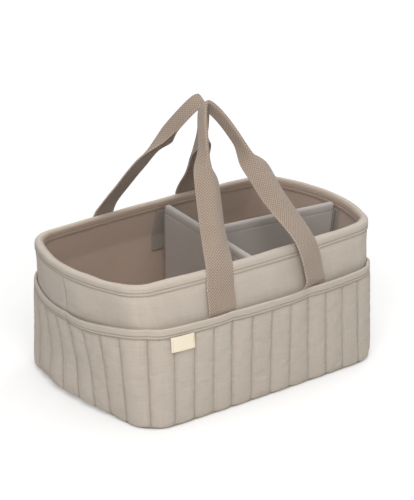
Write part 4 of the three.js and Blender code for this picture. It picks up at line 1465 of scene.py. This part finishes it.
    def grip_rows(self):
        """Stitches that hold the fold shut, near the two free edges over the grip."""
        rows = []
        for across in (-GRIP_SEAM, GRIP_SEAM):
            points, normals, fold = self.section(np.array([across]))
            shut = np.flatnonzero(fold > math.radians(88))
            out = normals[shut, 0]
            path = points[shut, 0] + out * (WEBBING_THICKNESS / 2 + 0.02 * MM)
            rows.append(stitches(path, out, length=3 * MM, gap=1.1 * MM, radius=0.28 * MM))
        return rows


FRONT_LEFT = Leg(spacing=65.7, lean=2.6, twist=1, cup=35, cup_heights=(135, 219), fold_heights=(254, 295))
FRONT_RIGHT = Leg(spacing=69.8, lean=1.5, twist=19, cup=27, cup_heights=(167, 235), fold_heights=(252, 289))
BACK_LEFT = Leg(
    spacing=66, lean=1.5, twist=14, cup=3, cup_heights=(137, 214), fold_heights=(246, 301),
    untwist_heights=(256, 298), crest=1.25, lag=2,
)
BACK_RIGHT = Leg(spacing=69.5, lean=0, twist=9, cup=45, cup_heights=(130, 233), fold_heights=(241, 285))


class MakeHandles(bpy.types.Operator):
    """Weave both handles and sew them into the pocket seams"""

    bl_idname = "nursery.make_handles"
    bl_label = "Handles"

    def execute(self, context):
        front = Strap(
            -1, middle_x=-3 * MM, apex_out=13.6 * MM, apex_height=330.6 * MM, grip_tilt=38, arch_peak=17 * MM,
            left=FRONT_LEFT, right=FRONT_RIGHT,
        )
        back = Strap(
            1, middle_x=-1.5 * MM, apex_out=12.7 * MM, apex_height=332 * MM, grip_tilt=32, arch_peak=19 * MM,
            left=BACK_LEFT, right=BACK_RIGHT,
        )
        for strap, half in ((front, "front"), (back, "back")):
            piece = strap.ribbon(f"handle_{half}_webbing")
            nodes = (f"handle_{half}", f"handle_tail_{half}_left", f"handle_tail_{half}_right")
            finish_piece(piece, "webbing", None, nodes)
            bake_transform(piece)
            thread_object(f"handle_{half}_stitches", strap.grip_rows(), f"{half}_handle")
        return {"FINISHED"}


def pad_ring(low, high, half, count=7, radius=2.6 * MM):
    """A long rounded outline in plan, as rows of (x, y)."""
    corners = []
    r = min(radius, half * 0.999)
    middles = ((high - r, half - r), (low + r, half - r), (low + r, r - half), (high - r, r - half))
    for quarter, (cx, cy) in enumerate(middles):
        for angle in np.radians(np.linspace(90 * quarter, 90 * quarter + 90, count)):
            corners.append((cx + r * math.cos(angle), cy + r * math.sin(angle)))
    ring = []
    for i, (x, y) in enumerate(corners):
        after = corners[(i + 1) % len(corners)]
        steps = max(1, int(math.dist((x, y), after) / (3 * MM)))
        for s in range(steps):
            ring.append((x + (after[0] - x) * s / steps, y + (after[1] - y) * s / steps))
    return np.array(ring)


def divider_cover(name, ends, seed):
    """A sleeve of cloth over a divider's board, open below, with a rounded seam along its top.
    ends gives its two ends at a height."""
    half, thick = DIVIDER_HALF, 1.2 * MM
    seam_row = DIVIDER_TOP - DIVIDER_SEAM
    levels = np.concatenate([
        DIVIDER_BOTTOM + np.array([0, 0.4, 1.2]) * MM,
        np.linspace(DIVIDER_BOTTOM + 3 * MM, DIVIDER_TOP - 16 * MM, 40),
        DIVIDER_TOP - np.array([14, 12, 10.8, 10, 9.2, 8, 6.4]) * MM,
    ])
    start, stop = ends(DIVIDER_BOTTOM)
    foot = pad_ring(start, stop, half)

    def ring_at(z, inset):
        low, high = ends(z)
        share = (foot[:, 0] - (start + stop) / 2) / ((stop - start) / 2)
        return (low + high) / 2 + share * ((high - low) / 2 - inset), foot[:, 1] / half * (half - inset)

    rows = []
    below_top, above_foot = (2.2 * MM, 40 * MM), (40 * MM, 0.3 * MM)
    for z in [DIVIDER_TOP - d for d in below_top] + [DIVIDER_BOTTOM + d for d in above_foot]:
        x, y = ring_at(z, thick)
        rows.append(np.stack([x, y, np.full_like(x, z)], axis=1))
    for z in levels:
        x, y = ring_at(z, 0)
        dip = 0.45 * MM * hump(z, seam_row, 0.7 * MM)
        swell = 0.28 * MM * ripple(x, z + 0 * x, seed, 55 * MM)
        y = np.where(np.abs(y) > half * 0.6, y * (1 + (swell - dip) / half), y)
        rows.append(np.stack([x, y, np.full_like(x, z)], axis=1))
    for angle in np.linspace(0, math.pi / 2, 9)[1:-1]:
        z = DIVIDER_TOP - half + half * math.sin(angle)
        x, y = ring_at(z, half * (1 - math.cos(angle)))
        rows.append(np.stack([x, y, np.full_like(x, z)], axis=1))
    points = np.concatenate(rows)
    # Painted highlight along the rounded top
    high = 1.4 * smooth(points[:, 2], DIVIDER_TOP - 3 * MM, DIVIDER_TOP)
    weave = np.stack([points[:, 0], points[:, 2], high], axis=1)
    return mesh_object(name, points, outward(points, ring_faces(len(rows), len(foot))), weave)


def turned(obj, along_y):
    """Sets a divider's piece in its place: pieces are made along X and the cross one lies along Y."""
    spin = Matrix.Rotation(math.pi / 2, 4, "Z") if along_y else Matrix.Identity(4)
    obj.data.transform(Matrix.Translation(DIVIDER_PLACE) @ Matrix.Rotation(DIVIDER_SKEW, 4, "Z") @ spin)
    return obj


def slab(name, low, high, bumps, seed):
    """A strip of tape between two corners, with rounded edges and a rough pile on both faces."""
    low, high = np.array(low), np.array(high)
    size = high - low
    thin = int(np.argmin(size))
    wide, tall = [k for k in range(3) if k != thin]
    a = np.linspace(0, 1, max(6, int(size[wide] / (0.7 * MM))))
    b = np.linspace(0, 1, max(12, int(size[tall] / (0.7 * MM))))
    grid_a, grid_b = np.meshgrid(a, b, indexing="ij")
    near_a, near_b = (np.minimum(grid, 1 - grid) for grid in (grid_a, grid_b))
    full = quarter_round(np.minimum(near_a * size[wide], near_b * size[tall]) / (0.5 * MM))
    pile = np.random.default_rng(seed).uniform(-1, 1, grid_a.shape) * bumps * (full > 0.95)
    points = []
    for sign in (1, -1):
        at = np.zeros((*grid_a.shape, 3))
        at[..., wide] = low[wide] + grid_a * size[wide]
        at[..., tall] = low[tall] + grid_b * size[tall]
        off = size[thin] / 2 * (0.25 + 0.75 * full) - np.abs(pile)
        at[..., thin] = (low[thin] + high[thin]) / 2 + sign * off
        points.append(at.reshape(-1, 3))
    rows, columns = grid_a.shape
    count = rows * columns
    faces = grid_faces(rows, columns)
    faces += [tuple(count + face[i] for i in (0, 3, 2, 1)) for face in faces]
    border = [i * columns for i in range(rows)] + [(rows - 1) * columns + j for j in range(1, columns)]
    border += [i * columns + columns - 1 for i in range(rows - 2, -1, -1)] + list(range(columns - 2, 0, -1))
    for p, q in zip(border, border[1:] + border[:1]):
        faces.append((p, q, count + q, count + p))
    points = np.concatenate(points)
    return mesh_object(name, points, outward(points, faces))


def local_box(node):
    """A divider piece's points in the dividers' own turned frame, and its low and high corners."""
    mesh = bpy.data.objects[node].data
    at = np.empty(len(mesh.vertices) * 3)
    mesh.vertices.foreach_get("co", at)
    at = at.reshape(-1, 3) - np.array(DIVIDER_PLACE)
    c, s = math.cos(-DIVIDER_SKEW), math.sin(-DIVIDER_SKEW)
    x, y = at[:, 0] * c - at[:, 1] * s, at[:, 0] * s + at[:, 1] * c
    local = np.stack([x, y, at[:, 2]], axis=1)
    return local, local.min(axis=0), local.max(axis=0)


class MakeDividers(bpy.types.Operator):
    """Cover the two lift-out dividers and edge them with hook and loop tape"""

    bl_idname = "nursery.make_dividers"
    bl_label = "Dividers"

    def execute(self, context):
        _, low, high = local_box("cross_divider_cover")
        cross = divider_cover("cross_divider_cover_sewn", lambda z: (low[1], high[1]), 81)
        turned(cross, True)
        finish_piece(cross, "divider", "cross_divider", ("cross_divider_cover",))

        local, low_l, _ = local_box("long_divider_cover")
        foot = local[local[:, 2] < DIVIDER_BOTTOM + MM][:, 0].max()
        head = local[local[:, 2] > DIVIDER_TOP - MM][:, 0].max()

        def ends(z):
            share = (z - DIVIDER_BOTTOM) / (DIVIDER_TOP - DIVIDER_BOTTOM)
            return low_l[0], foot + (head - foot) * share

        along = divider_cover("long_divider_cover_sewn", ends, 82)
        turned(along, False)
        finish_piece(along, "divider", "long_divider", ("long_divider_cover",))
        self.seams("cross_divider", (low[1], high[1]), True)
        self.seams("long_divider", ends(DIVIDER_TOP), False)
        tapes = {
            "cross_divider_hook_tape_front": "cross_divider",
            "cross_divider_hook_tape_back": "cross_divider",
            "cross_divider_loop_tape": "cross_divider",
            "long_divider_hook_tape_cross": "long_divider",
        }
        for number, (node, body) in enumerate(tapes.items()):
            _, low_t, high_t = local_box(node)
            tape = slab(f"{node}_pile", low_t, high_t, TAPE_PILE, 90 + number)
            turned(tape, False)
            finish_piece(tape, "tape", body, (node,))
        self.slanted_tape()
        return {"FINISHED"}

    def slanted_tape(self):
        """The hook tape on the long divider's outer edge leans with that edge."""
        node = "long_divider_hook_tape_end"
        local, low, high = local_box(node)
        bottom = local[local[:, 2] < low[2] + MM][:, 0]
        top = local[local[:, 2] > high[2] - MM][:, 0]
        foot_low, foot_high = (bottom.min(), low[1], low[2]), (bottom.max(), high[1], high[2])
        tape = slab(f"{node}_pile", foot_low, foot_high, TAPE_PILE, 96)
        lean = (top.min() - bottom.min()) / (high[2] - low[2])
        for vertex in tape.data.vertices:
            vertex.co.x += lean * (vertex.co.z - low[2])
        turned(tape, False)
        finish_piece(tape, "tape", "long_divider", (node,))

    def seams(self, name, reach, along_y):
        """A row of stitches along both faces, below the top."""
        rows = []
        along = np.linspace(reach[0] + 3 * MM, reach[1] - 3 * MM, 120)
        for sign in (-1, 1):
            off = sign * (DIVIDER_HALF - 0.3 * MM)
            path = np.stack([along, 0 * along + off, 0 * along + DIVIDER_TOP - DIVIDER_SEAM], axis=1)
            rows.append(stitches(path, np.zeros_like(path) + (0, sign, 0), radius=0.22 * MM))
        threads = turned(thread_object(f"{name}_stitches", rows, None), along_y)
        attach(threads, name)


class MakeTapes(bpy.types.Operator):
    """Sew the loop tapes to the lining, where the dividers meet it"""

    bl_idname = "nursery.make_tapes"
    bl_label = "Loop tapes"

    def execute(self, context):
        for side, half in HALVES:
            self.strip(f"divider_loop_tape_{half}", side, 2.3 * MM, 101 + side)
        self.strip("divider_loop_tape_right", None, 1.6 * MM, 105)
        return {"FINISHED"}

    def strip(self, node, side, thickness, seed):
        low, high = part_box(node)
        places = 34
        if side is None:
            y = np.linspace(low[1] + 0.3 * MM, high[1] - 0.3 * MM, places)
            v, sides = 1 - 0.5 * np.abs(y) / Wall.end_run(POCKET_TOP), np.where(y < 0, -1.0, 1.0)
        else:
            v = np.linspace(Wall.place(low[0]), Wall.place(high[0]), places)
            sides = np.full(places, float(side))
        z = level_rows(low[2], high[2], int((high[2] - low[2]) / (0.7 * MM)), 0.4 * MM, places)
        pile = np.random.default_rng(seed).uniform(0, 0.22, z.shape) * MM
        edge = np.minimum(np.arange(places), np.arange(places)[::-1])[:, None]
        outer = np.full_like(z, LINING_INNER - 0.3 * MM)
        inner = outer - thickness + pile * (edge > 1) + (edge == 0) * 0.4 * MM
        rising, falling = sheet_faces(z, outer, inner, 0.4 * MM)
        piece = wall_cloth(f"{node}_pile", v, sides, rising, falling)
        finish_piece(piece, "tape", "tub", (node,))


class MakeStage(bpy.types.Operator):
    """Lay the white floor and set the lamps and the camera"""

    bl_idname = "nursery.make_stage"
    bl_label = "Stage"

    def execute(self, context):
        scene = bpy.context.scene
        self.floor()
        self.world(scene)
        self.lamps(scene)
        self.camera(scene)
        scene.view_settings.view_transform = "Standard"
        return {"FINISHED"}

    def floor(self):
        half, count = 4.0, 24
        ticks = np.linspace(-half, half, count)
        x, y = np.meshgrid(ticks, ticks)
        points = np.stack([x.ravel(), y.ravel(), np.full(x.size, -0.2 * MM)], axis=1)
        floor = mesh_object("floor", points, grid_faces(count, count))
        finish = Finish("floor_paper")
        x, y, _ = finish.parts(finish.place())
        away = ((x * x + y * y) * 0.5).clamped()
        paper = finish.mixed(away, (0.31, 0.31, 0.31, 1), (0.7, 0.7, 0.7, 1))
        glow = finish.mixed(finish.seen(), (0, 0, 0, 1), paper)
        finish.set(Base_Color=(0.78, 0.78, 0.776, 1), Roughness=0.95, Specular_IOR_Level=0.0)
        finish.set(Emission_Color=glow, Emission_Strength=1.0)
        floor.data.materials.append(finish.material)

    def world(self, scene):
        world = bpy.data.worlds.new("studio")
        scene.world = world
        world.use_nodes = True
        sky = NodeTree(world.node_tree)
        back = sky.nodes["Background"]
        sky.feed(back.inputs["Color"], sky.mixed(sky.seen(), (0.4, 0.4, 0.4, 1), (1, 1, 1, 1)))
        sky.feed(back.inputs["Strength"], 1.0)

    def lamps(self, scene):
        """Square lamps: their places, sizes in metres and powers in watts."""
        for name, place, size, power in (
            ("key", (-0.74, -1.0, 1.15), 0.9, 14.6),
            ("top", (0.4, 0.4, 2.4), 2.0, 14),
            ("right", (2.2, 0.7, 1.6), 1.4, 9),
        ):
            lamp = bpy.data.lights.new(name, "AREA")
            lamp.size = size
            lamp.energy = power
            obj = bpy.data.objects.new(name, lamp)
            obj.location = place
            aim = Vector((0, 0, 0.12)) - Vector(place)
            obj.rotation_euler = aim.to_track_quat("-Z", "Y").to_euler()
            scene.collection.objects.link(obj)

    def camera(self, scene):
        """A long lens aimed at a point inside the tub, with a small shift."""
        stage = settings().stage
        camera = bpy.data.cameras.new("camera")
        camera.lens = stage.lens
        camera.shift_x = 0.007
        camera.shift_y = 0.048
        obj = bpy.data.objects.new("camera", camera)
        a, e = stage.azimuth, stage.elevation
        back = Vector((math.sin(a) * math.cos(e), -math.cos(a) * math.cos(e), math.sin(e)))
        obj.location = Vector((0, 0, 0.111)) + back * stage.distance
        obj.rotation_euler = (-back).to_track_quat("-Z", "Y").to_euler()
        scene.collection.objects.link(obj)
        scene.camera = obj


STEPS = (
    MakeStage, MakeFinishes, MakeFloor, MakeWalls, MakeRim,
    MakePockets, MakeLabel, MakeHandles, MakeDividers, MakeTapes,
)


class OrganizerPanel(bpy.types.Panel):
    """Sizes, colours and the steps in their order"""

    bl_idname = "VIEW3D_PT_nursery_organizer"
    bl_label = "Nursery Organizer"
    bl_space_type = "VIEW_3D"
    bl_region_type = "UI"
    bl_category = "Organizer"

    def draw(self, context):
        layout = self.layout
        whole = context.scene.nursery_organizer
        for group in (whole.cloth, whole.pockets, whole.stage):
            box = layout.box()
            for key in group.bl_rna.properties.keys():
                if key not in ("rna_type", "name"):
                    box.prop(group, key)
        for step in STEPS:
            layout.operator(step.bl_idname)


CLASSES = (
    ClothSettings, PocketSettings, StageSettings, OrganizerSettings, *STEPS, OrganizerPanel,
)


def register():
    for item in CLASSES:
        bpy.utils.register_class(item)
    bpy.types.Scene.nursery_organizer = PointerProperty(type=OrganizerSettings)


def unregister():
    del bpy.types.Scene.nursery_organizer
    for item in reversed(CLASSES):
        bpy.utils.unregister_class(item)


def main():
    """Makes every piece in order."""
    register()
    for step in STEPS:
        group, name = step.bl_idname.split(".")
        getattr(getattr(bpy.ops, group), name)()


if __name__ == "__main__":
    main()
